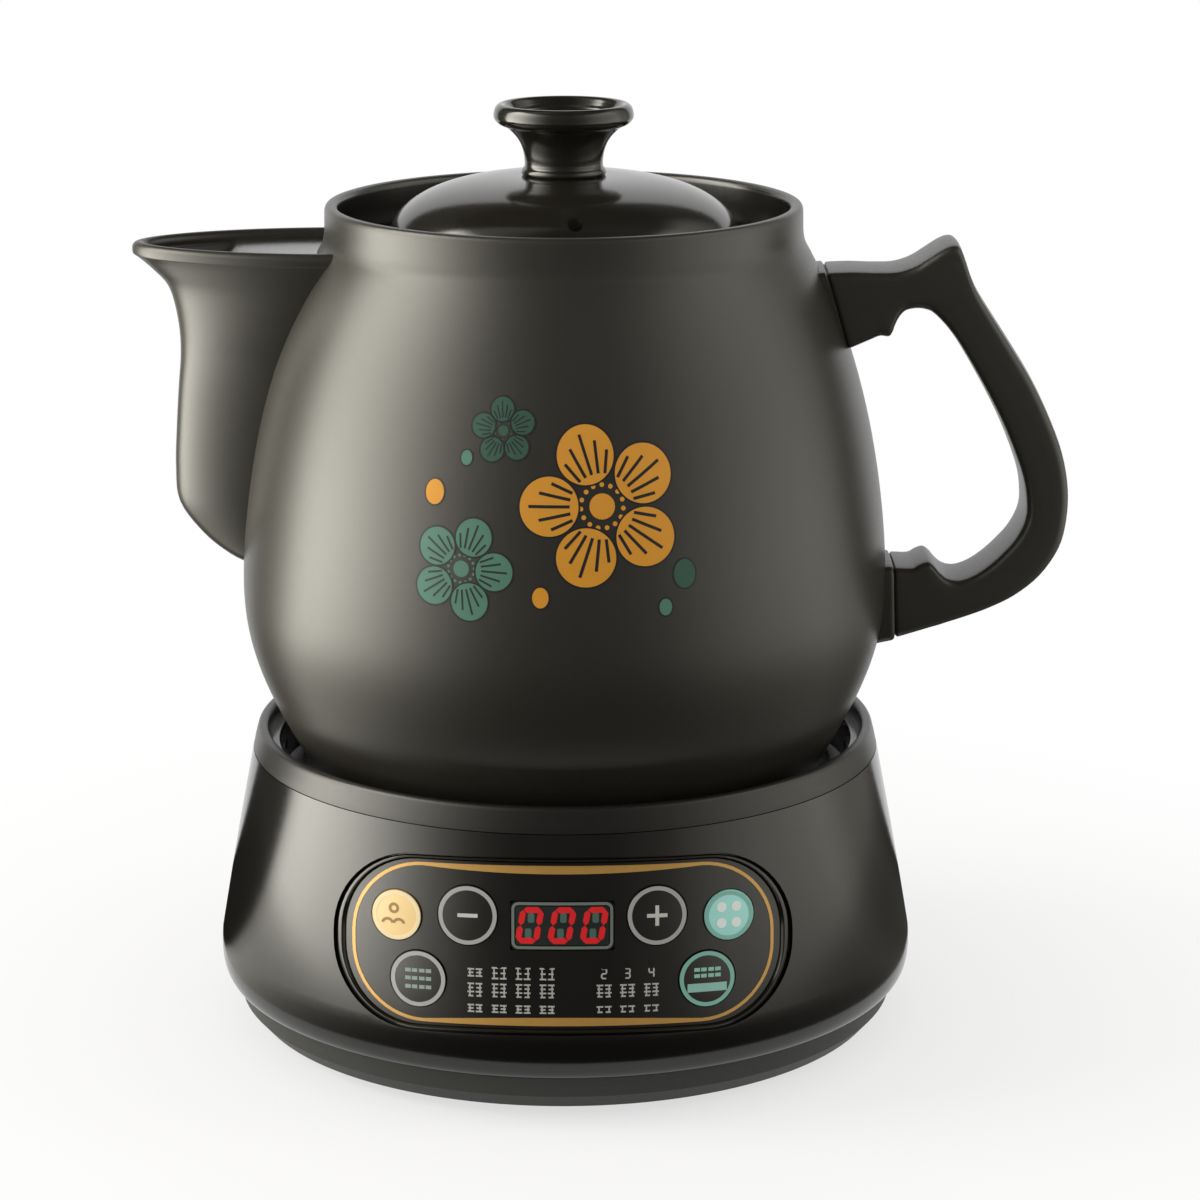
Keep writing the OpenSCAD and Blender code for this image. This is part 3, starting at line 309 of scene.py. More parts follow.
def pad(outline, centre, place, bottom, top, crown=0.0, edge=0.0, rings=8):
    """A raised pad inside an outline: straight sides, a rounded edge and a slightly crowned top."""
    reach = max(math.dist(p, centre) for p in outline)
    levels = [(1.0, bottom)]
    for a in angles(4, QUARTER):
        levels.append((1 - edge / reach * (1 - math.cos(a)), top - edge + edge * math.sin(a)))
    inner = levels[-1][0]
    for i in range(1, rings + 1):
        s = inner * (1 - i / rings)
        levels.append((s, top + crown * (1 - (s / inner) ** 2)))
    rows = [[place(centre[0] + (u - centre[0]) * s, centre[1] + (v - centre[1]) * s, rise)
             for u, v in outline] for s, rise in levels]
    verts, faces = loft(rows, caps=False)
    faces.append(tuple(range(len(outline))))
    return verts, faces


def section(at, along, width, place, bottom, top):
    """The four corners across a raised line at a point, where it runs along a direction."""
    (u, v), (du, dv) = at, along
    run = math.hypot(du, dv) or 1
    nu, nv = -dv / run * width / 2, du / run * width / 2
    return [place(u - nu, v - nv, bottom), place(u - nu, v - nv, top),
            place(u + nu, v + nv, top), place(u + nu, v + nv, bottom)]


def ribbon(path, width, place, bottom, top, closed=False):
    """A raised line of one width along a path."""
    rows = []
    for i, at in enumerate(path):
        before = path[i - 1] if closed or i else at
        after = path[(i + 1) % len(path)] if closed or i < len(path) - 1 else at
        rows.append(section(at, (after[0] - before[0], after[1] - before[1]), width, place, bottom, top))
    return hoop(rows) if closed else loft(rows)


# ---- The pot's curves

POT_Z = low("pot_body").z
RIM_Z = high("pot_body").z
BELLY_R = high("pot_body").x
LEDGE_Z = low("lid").z + 8
WALL_BITE = 4
SPOUT_ROOT = 8


def pot_outline(s, steps=26):
    """Outer outline of the pot from its flat bottom to the top of its rim."""
    belly_z = POT_Z + s["belly_h"]
    shoulder_z = RIM_Z - s["neck_h"]
    foot, neck = s["foot_r"], s["neck_r"]
    foot_curve = bezier(about(foot, POT_Z, (0, 0), (2.6, 0), (4.2, 1.1), (5.5, 2.5)), 5)
    lower = bezier(about(foot, POT_Z, (5.5, 2.5), (32.7, 45.4))
                   + about(BELLY_R, belly_z, (0, -26.5), (0, 0)), steps)
    upper = bezier(about(BELLY_R, belly_z, (0, 0), (0, 14))
                   + [(BELLY_R - 2.5, shoulder_z - 44.4), (neck + 2.1, shoulder_z)], steps)
    cove = bezier(about(neck, shoulder_z, (2.1, 0), (0.9, 1.9), (0.1, 3.6), (0, 7.6)), 8)
    lip = bezier(about(neck, RIM_Z, (-0.1, -2.6), (-0.1, -0.6), (-0.8, 0), (-2.2, 0)), 6)
    return foot_curve + lower[1:] + upper[1:] + cove[1:] + lip


def pot_inside(s, steps=18):
    """Inner outline of the pot from the rim, over the lid's ledge, down to the middle of its floor."""
    belly_z = POT_Z + s["belly_h"]
    floor_z = POT_Z + s["pot_wall"]
    inner_r = BELLY_R - s["pot_wall"]
    mouth, foot = s["mouth_r"], s["foot_r"]
    lip = bezier(about(mouth, RIM_Z, (2.2, 0), (0.9, 0), (0, -0.7), (0, -2.4)), 6)
    shelf = about(mouth, LEDGE_Z, (-0.9, 1.2), (-2, 0)) + about(
        s["ledge_r"], LEDGE_Z, (1, 0), (0, -1), (0, -5.6), (1, -6.4), (5, -9))
    upper = bezier([(s["neck_r"] - s["pot_wall"] + 10, LEDGE_Z - 15), (inner_r - 2.2, LEDGE_Z - 50)]
                   + about(inner_r, belly_z, (0, 18), (0, 0)), steps)
    lower = bezier(about(inner_r, belly_z, (0, 0), (0, -26.5))
                   + [(foot + 25, POT_Z + 42), (foot - 1, floor_z)], steps)
    return lip + shelf + upper + lower[1:] + [(0, floor_z), (0, POT_Z)]


class PotWall:
    """The pot's outer surface, which the spout, the handle and the print are set on."""

    def __init__(self, s):
        self.table = pot_outline(s)
        self.shoulder_z = RIM_Z - s["neck_h"]

    def radius(self, z):
        """The pot's outer radius at a height."""
        return lookup(self.table, z)

    def spout_root(self, z):
        """Radius inside the wall at which the spout starts."""
        return self.radius(min(z, self.shoulder_z)) - SPOUT_ROOT

    def keep_out(self, x, y, z):
        """A point that would reach the pot's inside, moved out along X to the middle of its wall."""
        least = self.radius(z) - WALL_BITE
        if math.hypot(x, y) < least and abs(y) < least:
            x = math.copysign(math.sqrt(least * least - y * y), x)
        return point(x, y, z)


# ---- Spout

LIP_Z = high("spout").z
SPOUT_REACH = -low("spout").x - BELLY_R
SPOUT_HALF = high("spout").y
SPOUT_SIDES = 26
# Each station: depth below the lip, reach past the belly, half width, how sharp the beak is
SPOUT_STATIONS = [
    (110, -3, 6, 1),
    (105.5, 5.4, 12.5, 1),
    (98.5, 13.9, 14.5, 1),
    (88, 21.3, 15.5, 1),
    (76, 22.3, 16, 1),
    (62, 21.6, 16.4, 1),
    (49, 20.6, 17.4, 1),
    (38, 19.6, 19.2, 1),
    (29, 19.8, 22, 1),
    (20, 21.3, 24.8, 1),
    (14, 23.5, 26.6, 1),
    (9.5, SPOUT_REACH - 7.2, 28.2, 1.05),
    (6.2, SPOUT_REACH - 3.4, 29.4, 1.1),
    (4.4, SPOUT_REACH - 1, 30.2, 1.12),
    (3.6, SPOUT_REACH - 0.3, 30.6, 1.12),
    (0, SPOUT_REACH, SPOUT_HALF, 1.15)]
CHANNEL_DEPTH = 103
LIP_FLARE = 0.08
BRIDGE_DEPTH = 2.5
BRIDGE_T = 5.5
BRIDGE_SAG = 0.9


def spout_half_ring(row, inset, z, pot):
    """The spout's level outline at a height, from one root round the beak to the other."""
    root = pot.spout_root(z)
    reach = BELLY_R + row[1] - inset - root
    points = []
    for i in range(-SPOUT_SIDES, SPOUT_SIDES + 1):
        a = QUARTER * i / SPOUT_SIDES
        y = math.copysign((row[2] - inset) * abs(math.sin(a)) ** row[3], i)
        points.append(pot.keep_out(-root - reach * math.cos(a), y, z))
    return points


def spout_shape(s, pot):
    """The spout's shell: solid below its channel, open above it, with a rounded lip."""
    wall = s["spout_wall"]

    def back(row, z):
        """A line inside the pot's wall from one root of the spout to the other."""
        return [pot.keep_out(-1, -row[2] * i / SPOUT_SIDES, z)
                for i in range(-SPOUT_SIDES, SPOUT_SIDES + 1)]

    def walls(row, z, outer, inner):
        """The outlines of the wall's outer and inner face."""
        return spout_half_ring(row, outer, z, pot) + spout_half_ring(row, inner, z, pot)[::-1]

    stations = [(row, LIP_Z - row[0]) for row in smooth_rows(SPOUT_STATIONS, 5) if row[0] > wall / 2]
    solid = [(row, z) for row, z in stations if row[0] > CHANNEL_DEPTH]
    rows = [spout_half_ring(row, 0, z, pot) + back(row, z) for row, z in solid]
    rows += [walls(row, z, 0, wall) for row, z in solid[-1:] + stations[len(solid):]]
    _, reach, half, sharp = SPOUT_STATIONS[-1]
    for a in angles(6, QUARTER):
        inset = wall / 2 * (1 - math.cos(a))
        z = LIP_Z - wall / 2 + wall / 2 * math.sin(a)
        rows.append(walls((0, reach - LIP_FLARE * (LIP_Z - z), half, sharp), z, inset, wall - inset))
    verts, faces = loft(rows, caps=False)
    faces.append(tuple(range(len(rows[0]))))
    return verts, faces


def bridge_shape(s, pot):
    """The plate over the spout's root, with a rounded front edge."""
    _, lip_reach, lip_half, sharp = SPOUT_STATIONS[-1]
    top = LIP_Z - BRIDGE_DEPTH
    root = pot.spout_root(RIM_Z)
    inset = s["spout_wall"] / 2
    reach = BELLY_R + lip_reach - inset - root
    half_t = BRIDGE_T / 2
    front = BELLY_R + SPOUT_REACH - s["beak_open"] - half_t
    end = pot.radius(top) - WALL_BITE
    stops = [(front + half_t * math.cos(a), half_t * math.sin(a)) for a in angles(6, QUARTER)]
    stops += [(front - (front - end) * i / 14, half_t) for i in range(1, 15)]
    rows = []
    for x, t in stops:
        share = min(max((x - root) / reach, 0), 1)
        half = (lip_half - inset) * math.sqrt(1 - share * share) ** sharp
        line = [(half * i / 12, top - half_t - BRIDGE_SAG * (1 - (i / 12) ** 2)) for i in range(-12, 13)]
        rows.append([point(-x, y, z + t) for y, z in line]
                    + [point(-x, y, z - t) for y, z in reversed(line)])
    return loft(rows)


# ---- Handle

HANDLE_W = 28
HANDLE_CORNER = 2.6
HANDLE_CROWN = 0.7
# Outer reach past the belly and depth below the rim, inner reach and depth, and share of the section,
# from inside the wall at the upper root down to the lower root
HANDLE_STATIONS = [
    (-40, 22.2, -40, 49, 1.02), (-24.3, 22.1, -16.7, 48.3, 1.02), (-22.4, 22, -14.9, 47.3, 1.02),
    (-21.6, 22, -14.3, 47, 0.93), (-20.8, 21.9, -13.7, 46.7, 0.99), (-17.2, 21.8, -10.9, 45.4, 1),
    (-13.1, 21.7, -6.8, 43.6, 1), (-9.5, 21.8, -4, 42.5, 1), (-6.9, 21.9, -1.2, 42.7, 1),
    (-5.2, 21.9, 0, 41.4, 1), (-3.3, 21.9, 0.9, 38.9, 1), (-1.3, 21.9, 2.1, 36.4, 1),
    (1.3, 21.7, 3.9, 34.3, 1), (4.3, 21, 6.1, 33.5, 1), (7.9, 19.5, 8.7, 33.3, 1),
    (11.9, 16.9, 10.8, 33.6, 1), (15.9, 14.3, 12.8, 34.3, 1), (19, 13, 14.6, 35.7, 1),
    (21.6, 13.6, 16.3, 37.4, 1), (23.4, 17.4, 18.4, 39.7, 1), (25.4, 23.1, 21.3, 43.5, 1),
    (28.1, 29.1, 23.9, 47.5, 1), (32.9, 36.8, 27.7, 53.8, 1), (39.9, 47.7, 32.6, 62.4, 1),
    (46.4, 58.3, 37.5, 72, 1), (52.4, 70.4, 41.6, 81.5, 1), (57.2, 82.8, 44.7, 90.2, 1),
    (59.4, 94.5, 46.1, 97.7, 1), (59.2, 105.2, 46, 104.6, 1), (56.9, 114.8, 43.2, 111.1, 1),
    (50.9, 124, 39.2, 116.1, 1), (42.8, 130.8, 34.1, 121, 1), (34.5, 135.1, 29, 124.5, 1),
    (27.8, 137.7, 24.3, 126.1, 1), (23.1, 139.3, 20.4, 125.5, 1), (20, 140.3, 17.7, 123.4, 1),
    (17.4, 141.2, 15.5, 120.9, 1), (15.3, 141.8, 13.5, 119.7, 1), (12.7, 142.6, 11.1, 120.4, 1),
    (10.1, 143.4, 8.5, 121.8, 1), (5.9, 144.7, 4.4, 121.8, 1), (3.8, 145.4, 2.8, 121.7, 0.99),
    (3, 145.7, 2.1, 121.7, 0.93), (2.2, 146, 1.5, 121.6, 1.02), (-2.5, 147.1, -3, 121.5, 1.02),
    (-20, 151, -20, 121, 1.02)]


def handle_ring(row, pot):
    """A ring across the handle between its outer and its inner edge: flat sides and a low crown."""
    outer = Vector((BELLY_R + row[0], RIM_Z - row[1]))
    inner = Vector((BELLY_R + row[2], RIM_Z - row[3]))
    mid, along = (outer + inner) / 2, (outer - inner).normalized()
    tall, wide = (outer - inner).length * row[4], HANDLE_W * row[4]
    ring = []
    for p, q in rounded_rect(tall, wide, HANDLE_CORNER, (0, 0), 3, 8, 5):
        crown = math.copysign(HANDLE_CROWN * (1 - (2 * q / wide) ** 2), p)
        at = mid + along * (p + crown * 2 * abs(p) / tall)
        ring.append(pot.keep_out(at[0], q, at[1]))
    return ring


# ---- The base's curves

SKIRT_R = 118.28
SKIRT_TOP_R = 105.9
EDGE_Z = low("outer_shell").z
EDGE_R = 113.5
ROUND_Z = EDGE_Z + 14.1
PANEL_Z = 57.8
PANEL_LIFT = 2.2
PANEL_W, PANEL_H, PANEL_CORNER = 148, 56.8, 27
SLOPE_SPAN = 22
KEY_RISE = 0.9
# The panel's face lies a little inside the line of the skirt's surface
FACE_RISE = -1.4


def skirt_outline(s, steps=30):
    """Outline of the base's skirt from its lower edge to the deck."""
    low_part = bezier([(EDGE_R, EDGE_Z), (SKIRT_R - 0.3, EDGE_Z + 0.6), (SKIRT_R + 0.7, EDGE_Z + 6),
                       (SKIRT_R, ROUND_Z)], steps // 2)
    high_part = bezier(about(SKIRT_R, ROUND_Z, (0, 0), (-4.8, 28))
                       + about(SKIRT_TOP_R, s["deck_z"], (3.6, -18.5), (0, 0)), steps)
    return low_part + high_part[1:]


def panel_outline(ends, edges, corner=0.0):
    """The panel's outline, drawn in by one distance at its ends and another above and below."""
    return rounded_rect(PANEL_W - 2 * ends, PANEL_H - 2 * edges,
                        PANEL_CORNER - (ends + edges) / 2 + corner, (0, PANEL_LIFT))


class PanelFrame:
    """The control panel's own frame: u along the panel, v up its slope, rise out of the skirt."""

    def __init__(self, s):
        self.table = skirt_outline(s, 90)
        self.radius = lookup(self.table, PANEL_Z)
        fall = lookup(self.table, PANEL_Z - SLOPE_SPAN) - lookup(self.table, PANEL_Z + SLOPE_SPAN)
        tilt = math.atan2(fall, 2 * SLOPE_SPAN)
        self.cos, self.sin = math.cos(tilt), math.sin(tilt)

    def at(self, u, v, rise):
        """The point that stands over u, v, rise millimetres outside the skirt's surface."""
        t = -u * u / (2 * self.radius) + rise
        # Each round moves the point along the panel's slope by what it still misses, a little eased
        for _ in range(7):
            y = -self.radius + v * self.sin - t * self.cos
            z = PANEL_Z + v * self.cos + t * self.sin
            miss = math.hypot(u, y) - lookup(self.table, z) - rise
            t -= miss * math.hypot(u, y) / max(abs(y), 1) * 0.97
        return point(u, y, z)

    def line(self, u, v, depth):
        """A point in millimetres over u, v at a depth measured straight out of the panel's middle."""
        return Vector((u, -self.radius + v * self.sin - depth * self.cos,
                       PANEL_Z + v * self.cos + depth * self.sin))


# ---- Finishes

def add(tree, kind, inputs=None, **settings):
    """Adds a shader node, sets it up, and fills its sockets with values or with links."""
    made = tree.nodes.new("ShaderNode" + kind)
    for name, value in settings.items():
        setattr(made, name, value)
    for name, value in (inputs or {}).items():
        if isinstance(value, bpy.types.NodeSocket):
            tree.links.new(value, made.inputs[name])
        else:
            made.inputs[name].default_value = value
    return made


def fresh_nodes(owner):
    """The emptied node tree of a material or world, and the socket that takes its surface."""
    owner.use_nodes = True
    owner.node_tree.nodes.clear()
    kind = "OutputWorld" if isinstance(owner, bpy.types.World) else "OutputMaterial"
    return owner.node_tree, add(owner.node_tree, kind).inputs["Surface"]


def per_metre(size_mm):
    """Texture scale whose features are about a size in millimetres."""
    return 1 / (size_mm * MM)


def shade(colour, factor):
    """A colour made lighter or darker."""
    return tuple(min(c * factor, 1) for c in colour[:3]) + (1.0,)


def finish(name, colour, span, rough, grain_mm, drift_mm=30, bump_mm=0.0, **sockets):
    """A finish whose tone drifts slowly over a span of shades, with polish and relief in a fine grain."""
    made = bpy.data.materials.new(name)
    tree, surface = fresh_nodes(made)
    shader = add(tree, "BsdfPrincipled", sockets)
    tree.links.new(shader.outputs["BSDF"], surface)
    coords = add(tree, "TexCoord").outputs["Object"]
    drift = add(tree, "TexNoise", {"Vector": coords, "Scale": per_metre(drift_mm), "Detail": 3.0})
    grain = add(tree, "TexNoise", {"Vector": coords, "Scale": per_metre(grain_mm), "Detail": 4.0})
    tone = add(tree, "Mix", {"Factor": drift.outputs["Fac"], 6: shade(colour, span[0]),
                             7: shade(colour, span[1])}, data_type="RGBA")
    tree.links.new(tone.outputs[2], shader.inputs["Base Color"])
    polish = add(tree, "MapRange", {"Value": grain.outputs["Fac"], "From Min": 0.3, "From Max": 0.7,
                                    "To Min": rough[0], "To Max": rough[1]})
    tree.links.new(polish.outputs["Result"], shader.inputs["Roughness"])
    if bump_mm:
        bump = add(tree, "Bump", {"Height": grain.outputs["Fac"], "Distance": bump_mm * MM,
                                  "Strength": 1.0})
        tree.links.new(bump.outputs["Normal"], shader.inputs["Normal"])
    return made


def glaze_finish(name, colours, rough, depth=1.0):
    """Stoneware glaze, sprayed and fired: a soft broad sheen over a faint orange-peel relief."""
    return finish(name, colours.glaze, (0.92 * depth, 1.1 * depth), rough, 0.9, 26, 0.012, IOR=1.62)


def shell_finish(colours):
    """Polished ABS, moulded in a mirror-finished tool: clear reflections with a little haze."""
    return finish("polished_abs_black", colours.shell, (0.95, 1.08), (0.12, 0.17), 1.4, IOR=1.53)


def ring_finish(colours):
    """Satin ABS, moulded against a lightly blasted tool: its reflections are soft."""
    return finish("satin_abs_black", colours.shell, (1.2, 1.45), (0.3, 0.38), 0.8, bump_mm=0.01, IOR=1.53)


def housing_finish(colours):
    """Polypropylene moulded against a spark-eroded tool: an even, dull grain."""
    return finish("spark_grain_polypropylene", colours.housing, (0.92, 1.1), (0.5, 0.62), 0.7,
                  bump_mm=0.03, IOR=1.49)


def gilt_finish(colours):
    """Gold ink under a clear coat: dull gold face on, and pale where it mirrors a light."""
    return finish("gold_ink_under_clear_coat", colours.gilt, (0.92, 1.1), (0.28, 0.36), 0.5, 5,
                  Metallic=0.25, IOR=1.6)


def print_finish(name, colour):
    """Ceramic or screen print ink: a flat, slightly chalky colour with soft edges to its sheen."""
    return finish(name, colour, (0.93, 1.06), (0.34, 0.44), 0.6, 6)


def key_finish(name, colour):
    """A moulded polycarbonate key cap: bright colour under a clear gloss."""
    return finish(name, colour, (0.96, 1.04), (0.16, 0.24), 1.2, 9, IOR=1.58)


def window_finish(colours):
    """Smoked acrylic, cut from cast sheet: as dark and clear as the shell round it."""
    return finish("smoked_acrylic", colours.shell, (0.9, 1), (0.12, 0.17), 2.0, IOR=1.53)


def digit_finish(colours):
    """A lit red segment behind its diffuser: flat red that glows a little."""
    return finish("lit_red_digit", colours.digits, (0.95, 1), (0.3, 0.4), 1,
                  **{"Emission Color": colours.digits, "Emission Strength": 0.3})


# ---- Pot

STRAINER_COLUMNS, STRAINER_ROWS = 3, 6
STRAINER_PITCH, STRAINER_HOLE_R = 8, 2.25
STRAINER_RISE = 54


class MakeVessel(bpy.types.Operator):
    """Makes the pot's body with its strainer holes, the spout with its bridge, and the loop handle"""
    bl_idname = "pot.make_vessel"
    bl_label = "Pot, spout and handle"

    def execute(self, context):
        s = sizes()
        colours = context.scene.pot_colours
        pot = PotWall(s)
        glaze = glaze_finish("satin_stoneware_glaze", colours, (0.32, 0.38))
        mid_z = POT_Z + s["belly_h"] + STRAINER_RISE
        holes = []
        for i in range(STRAINER_COLUMNS):
            for k in range(STRAINER_ROWS):
                y = (i - (STRAINER_COLUMNS - 1) / 2) * STRAINER_PITCH
                z = mid_z + (k - (STRAINER_ROWS - 1) / 2) * STRAINER_PITCH
                holes.append(rod((-BELLY_R - 1, y, z), (-BELLY_R + 25, y, z), STRAINER_HOLE_R, 20))
        vessel = piece("vessel_body", [lathe(pot_outline(s) + pot_inside(s))], glaze, "pot",
                       ["pot_body"], holes)
        # Inside the mouth the glaze lies in its own shade, so that shade is painted in: the same glaze is
        # drawn darker there
        vessel.data.materials.append(glaze_finish("dark_lining_glaze", colours, (0.2, 0.26), 0.4))
        for face in vessel.data.polygons:
            if face.center.xy.length < (s["mouth_r"] + 0.4) * MM:
                face.material_index = 1
        piece("pouring_spout", [spout_shape(s, pot)], glaze, "pot", ["spout"])
        gloss = glaze_finish("glossy_bridge_glaze", colours, (0.1, 0.16))
        piece("spout_bridge", [bridge_shape(s, pot)], gloss, "pot")
        rings = [handle_ring(row, pot) for row in smooth_rows(HANDLE_STATIONS, 4)]
        piece("loop_handle", [loft(rings)], glaze, "pot", ["pot_handle"])
        return {"FINISHED"}


# Each blossom: angle from the front, height, radius, petals, turn, colour name
BLOSSOMS = [
    (7, 200, 26.5, 5, 0.31, "gold_print"),
    (-17, 180, 17, 5, 0.9, "green_print"),
    (-10.5, 222.5, 10.5, 5, 0.1, "dark_print")]
# Each loose petal dot: angle, height, radius, colour name
DOTS = [
    (-22.5, 203, 3.1, "gold_print"),
    (-3.5, 172, 2.6, "gold_print"),
    (21, 178, 3.6, "dark_print"),
    (17.5, 168, 2.1, "green_print"),
    (-17, 214, 1.8, "green_print")]
# How deep every printed form is rooted in the wall
PRINT_ROOT = -0.3
# Shares of a blossom's radius
PETAL_REACH, PETAL_R = 0.62, 0.345
HEART_R, STAMEN_REACH, STAMEN_R = 0.15, 0.25, 0.028
VEIN_START, VEIN_END, VEIN_W = 0.38, 0.86, 0.036
VEIN_TURNS = (-0.42, -0.21, 0, 0.21, 0.42)
VEIN_STEPS = 10


class MakeBlossoms(bpy.types.Operator):
    """Prints a spray of plain five-petal blossoms and loose petals on the front of the pot"""
    bl_idname = "pot.make_blossoms"
    bl_label = "Printed blossoms"

    def place(self, angle, height):
        """A function that puts a point of the print on the pot's side."""
        turn = math.radians(angle)

        def at(u, v, rise):
            z = height + v
            r = self.pot.radius(z) + rise
            a = turn + u / self.pot.radius(height)
            return point(r * math.sin(a), -r * math.cos(a), z)
        return at

    def fill(self, at, centre, radius, steps, rings, squash=1.0):
        """A thin printed disc."""
        return pad(circle(centre, radius, steps, squash), centre, at, PRINT_ROOT, self.print_t, rings=rings)

    def edge(self, at, centre, radius, width, steps, squash=1.0):
        """A thin printed line round a disc."""
        return ribbon(circle(centre, radius, steps, squash), width, at, PRINT_ROOT, self.print_t * 1.5,
                      closed=True)

    def blossom(self, angle, height, radius, petals, turn):
        """Fill and line shapes of one blossom: round petals with veins, a centre and stamens."""
        at = self.place(angle, height)
        fills, lines = [], []
        for k in range(petals):
            a = turn + math.tau * k / petals + QUARTER
            centre = polar(PETAL_REACH * radius, a)
            fills.append(self.fill(at, centre, PETAL_R * radius, 40, 9))
            lines.append(self.edge(at, centre, PETAL_R * radius + 0.25, 0.55, 48))
            for side in VEIN_TURNS:
                start, end = VEIN_START * radius, (VEIN_END - 0.5 * abs(side)) * radius
                path = [polar(start + (end - start) * i / VEIN_STEPS, a + side)
                        for i in range(VEIN_STEPS + 1)]
                lines.append(ribbon(path, VEIN_W * radius, at, PRINT_ROOT, self.print_t * 1.6))
        fills.append(self.fill(at, (0, 0), HEART_R * radius, 24, 4))
        for a in angles(petals * 3)[:-1]:
            fills.append(self.fill(at, polar(STAMEN_REACH * radius, turn + a), STAMEN_R * radius, 12, 2))
        return fills, lines

    def execute(self, context):
        s = sizes()
        colours = context.scene.pot_colours
        self.pot = PotWall(s)
        self.print_t = s["print_t"]
        lines = []
        fills = {"gold_print": [], "green_print": [], "dark_print": []}
        for *form, colour in BLOSSOMS:
            made, drawn = self.blossom(*form)
            fills[colour] += made
            lines += drawn
        for angle, height, radius, colour in DOTS:
            at = self.place(angle, height)
            fills[colour].append(self.fill(at, (0, 0), radius, 28, 4, 1.25))
            lines.append(self.edge(at, (0, 0), radius + 0.2, 0.45, 32, 1.25))
        for colour, shapes in fills.items():
            ink = print_finish("underglaze_" + colour, getattr(colours, colour))
            piece("blossoms_" + colour, shapes, ink, "pot")
        piece("blossom_lines", lines, print_finish("underglaze_line", srgb("#1d1f24")), "pot")
        return {"FINISHED"}


LID_DOME_R, LID_PLUG_R, LID_WALL = 58, 61, 5
KNOB_NECK_R = 13.2
STEAM_REACH, STEAM_R, STEAM_TURN = 50.6, 2.5, math.radians(4.6)


class MakeLid(bpy.types.Operator):
    """Makes the domed lid with its steam hole, and the knob on top of it"""
    bl_idname = "pot.make_lid"
    bl_label = "Lid and knob"

    def execute(self, context):
        glaze = glaze_finish("glossy_stoneware_glaze", context.scene.pot_colours, (0.12, 0.17), 0.7)
        top = high("lid").z
        flange_r, flange_z = high("lid").x, LEDGE_Z + 4
        inner_r = LID_DOME_R - LID_WALL
        inner_z = top - LID_WALL
        outside = bezier(about(LID_DOME_R, flange_z, (0, 3), (-2, 14.5))
                         + [(LID_DOME_R - 19, top - 0.2), (KNOB_NECK_R + 0.2, top)], 34)
        inside = bezier([(KNOB_NECK_R, inner_z), (inner_r - 17, inner_z - 0.4)]
                        + about(inner_r, flange_z, (-2, 9.6), (0, 0)), 20)
        cove = bezier(about(LID_DOME_R, flange_z, (4.5, 0.4), (1.8, 0.6), (0.5, 1.4), (0, 3)), 8)
        rim = bezier(about(flange_r, flange_z, (0, -1.4), (0, -0.4), (-0.6, 0), (-1.6, 0)), 5)
        plug = [(inner_r + 2, LEDGE_Z - 8), (LID_DOME_R + 1, LEDGE_Z - 8)]
        plug += about(LID_PLUG_R, LEDGE_Z, (0, -6), (0, 0)) + about(flange_r, LEDGE_Z, (-1, 0), (0, 0.8))
        outline = [(0, inner_z)] + inside + plug + rim + cove + outside[1:] + [(0, top)]
        steam = (STEAM_REACH * math.sin(STEAM_TURN), -STEAM_REACH * math.cos(STEAM_TURN))
        hole = rod((*steam, LEDGE_Z), (*steam, top), STEAM_R, 32)
        piece("domed_lid", [lathe(outline)], glaze, "lid", ["lid"], [hole])
        self.make_knob(glaze, top)
        return {"FINISHED"}

    def make_knob(self, glaze, foot_z):
        """A flared knob with a bead round its foot and a dished top."""
        top, r = high("lid_knob").z, high("lid_knob").x
        foot = about(KNOB_NECK_R, foot_z, (0.2, 0), (0.7, 0.6), (0.8, 1.3), (0.5, 2), (0, 2.5), (-0.3, 3.1))
        flare = bezier([foot[-1], (KNOB_NECK_R - 0.3, top - 13.3)]
                       + about(r, top, (-7.5, -10.3), (-3.8, -7.5)), 24)
        edge = about(r, top, (-3.8, -7.5), (-1.4, -6.4), (-0.1, -4.8), (0, -3.2), (-0.5, -1.4),
                     (-1.5, -0.3), (-2.6, 0), (-3.7, -0.4), (-4.8, -1.8), (-6, -3.2), (-8.4, -4.2))
        edge.append((0, top - 4.6))
        outline = [(0, foot_z)] + smooth_rows(foot, 4) + flare[1:-1] + smooth_rows(edge, 5)
        piece("lid_grip", [lathe(outline, 128)], glaze, "lid", ["lid_knob"])


# ---- Base

RING_DROP = 1.8
RING_IN_R = 101.2
RING_SEAT_R = 103
RING_PLAY = 0.25
DECK_HOLE_R = 99.5
INLET_AT = (0, 112, 36)
INLET_MOUTH = (28.4, 24, 20.9)
INLET_BACK = 104
INLET_GAP = 0.4


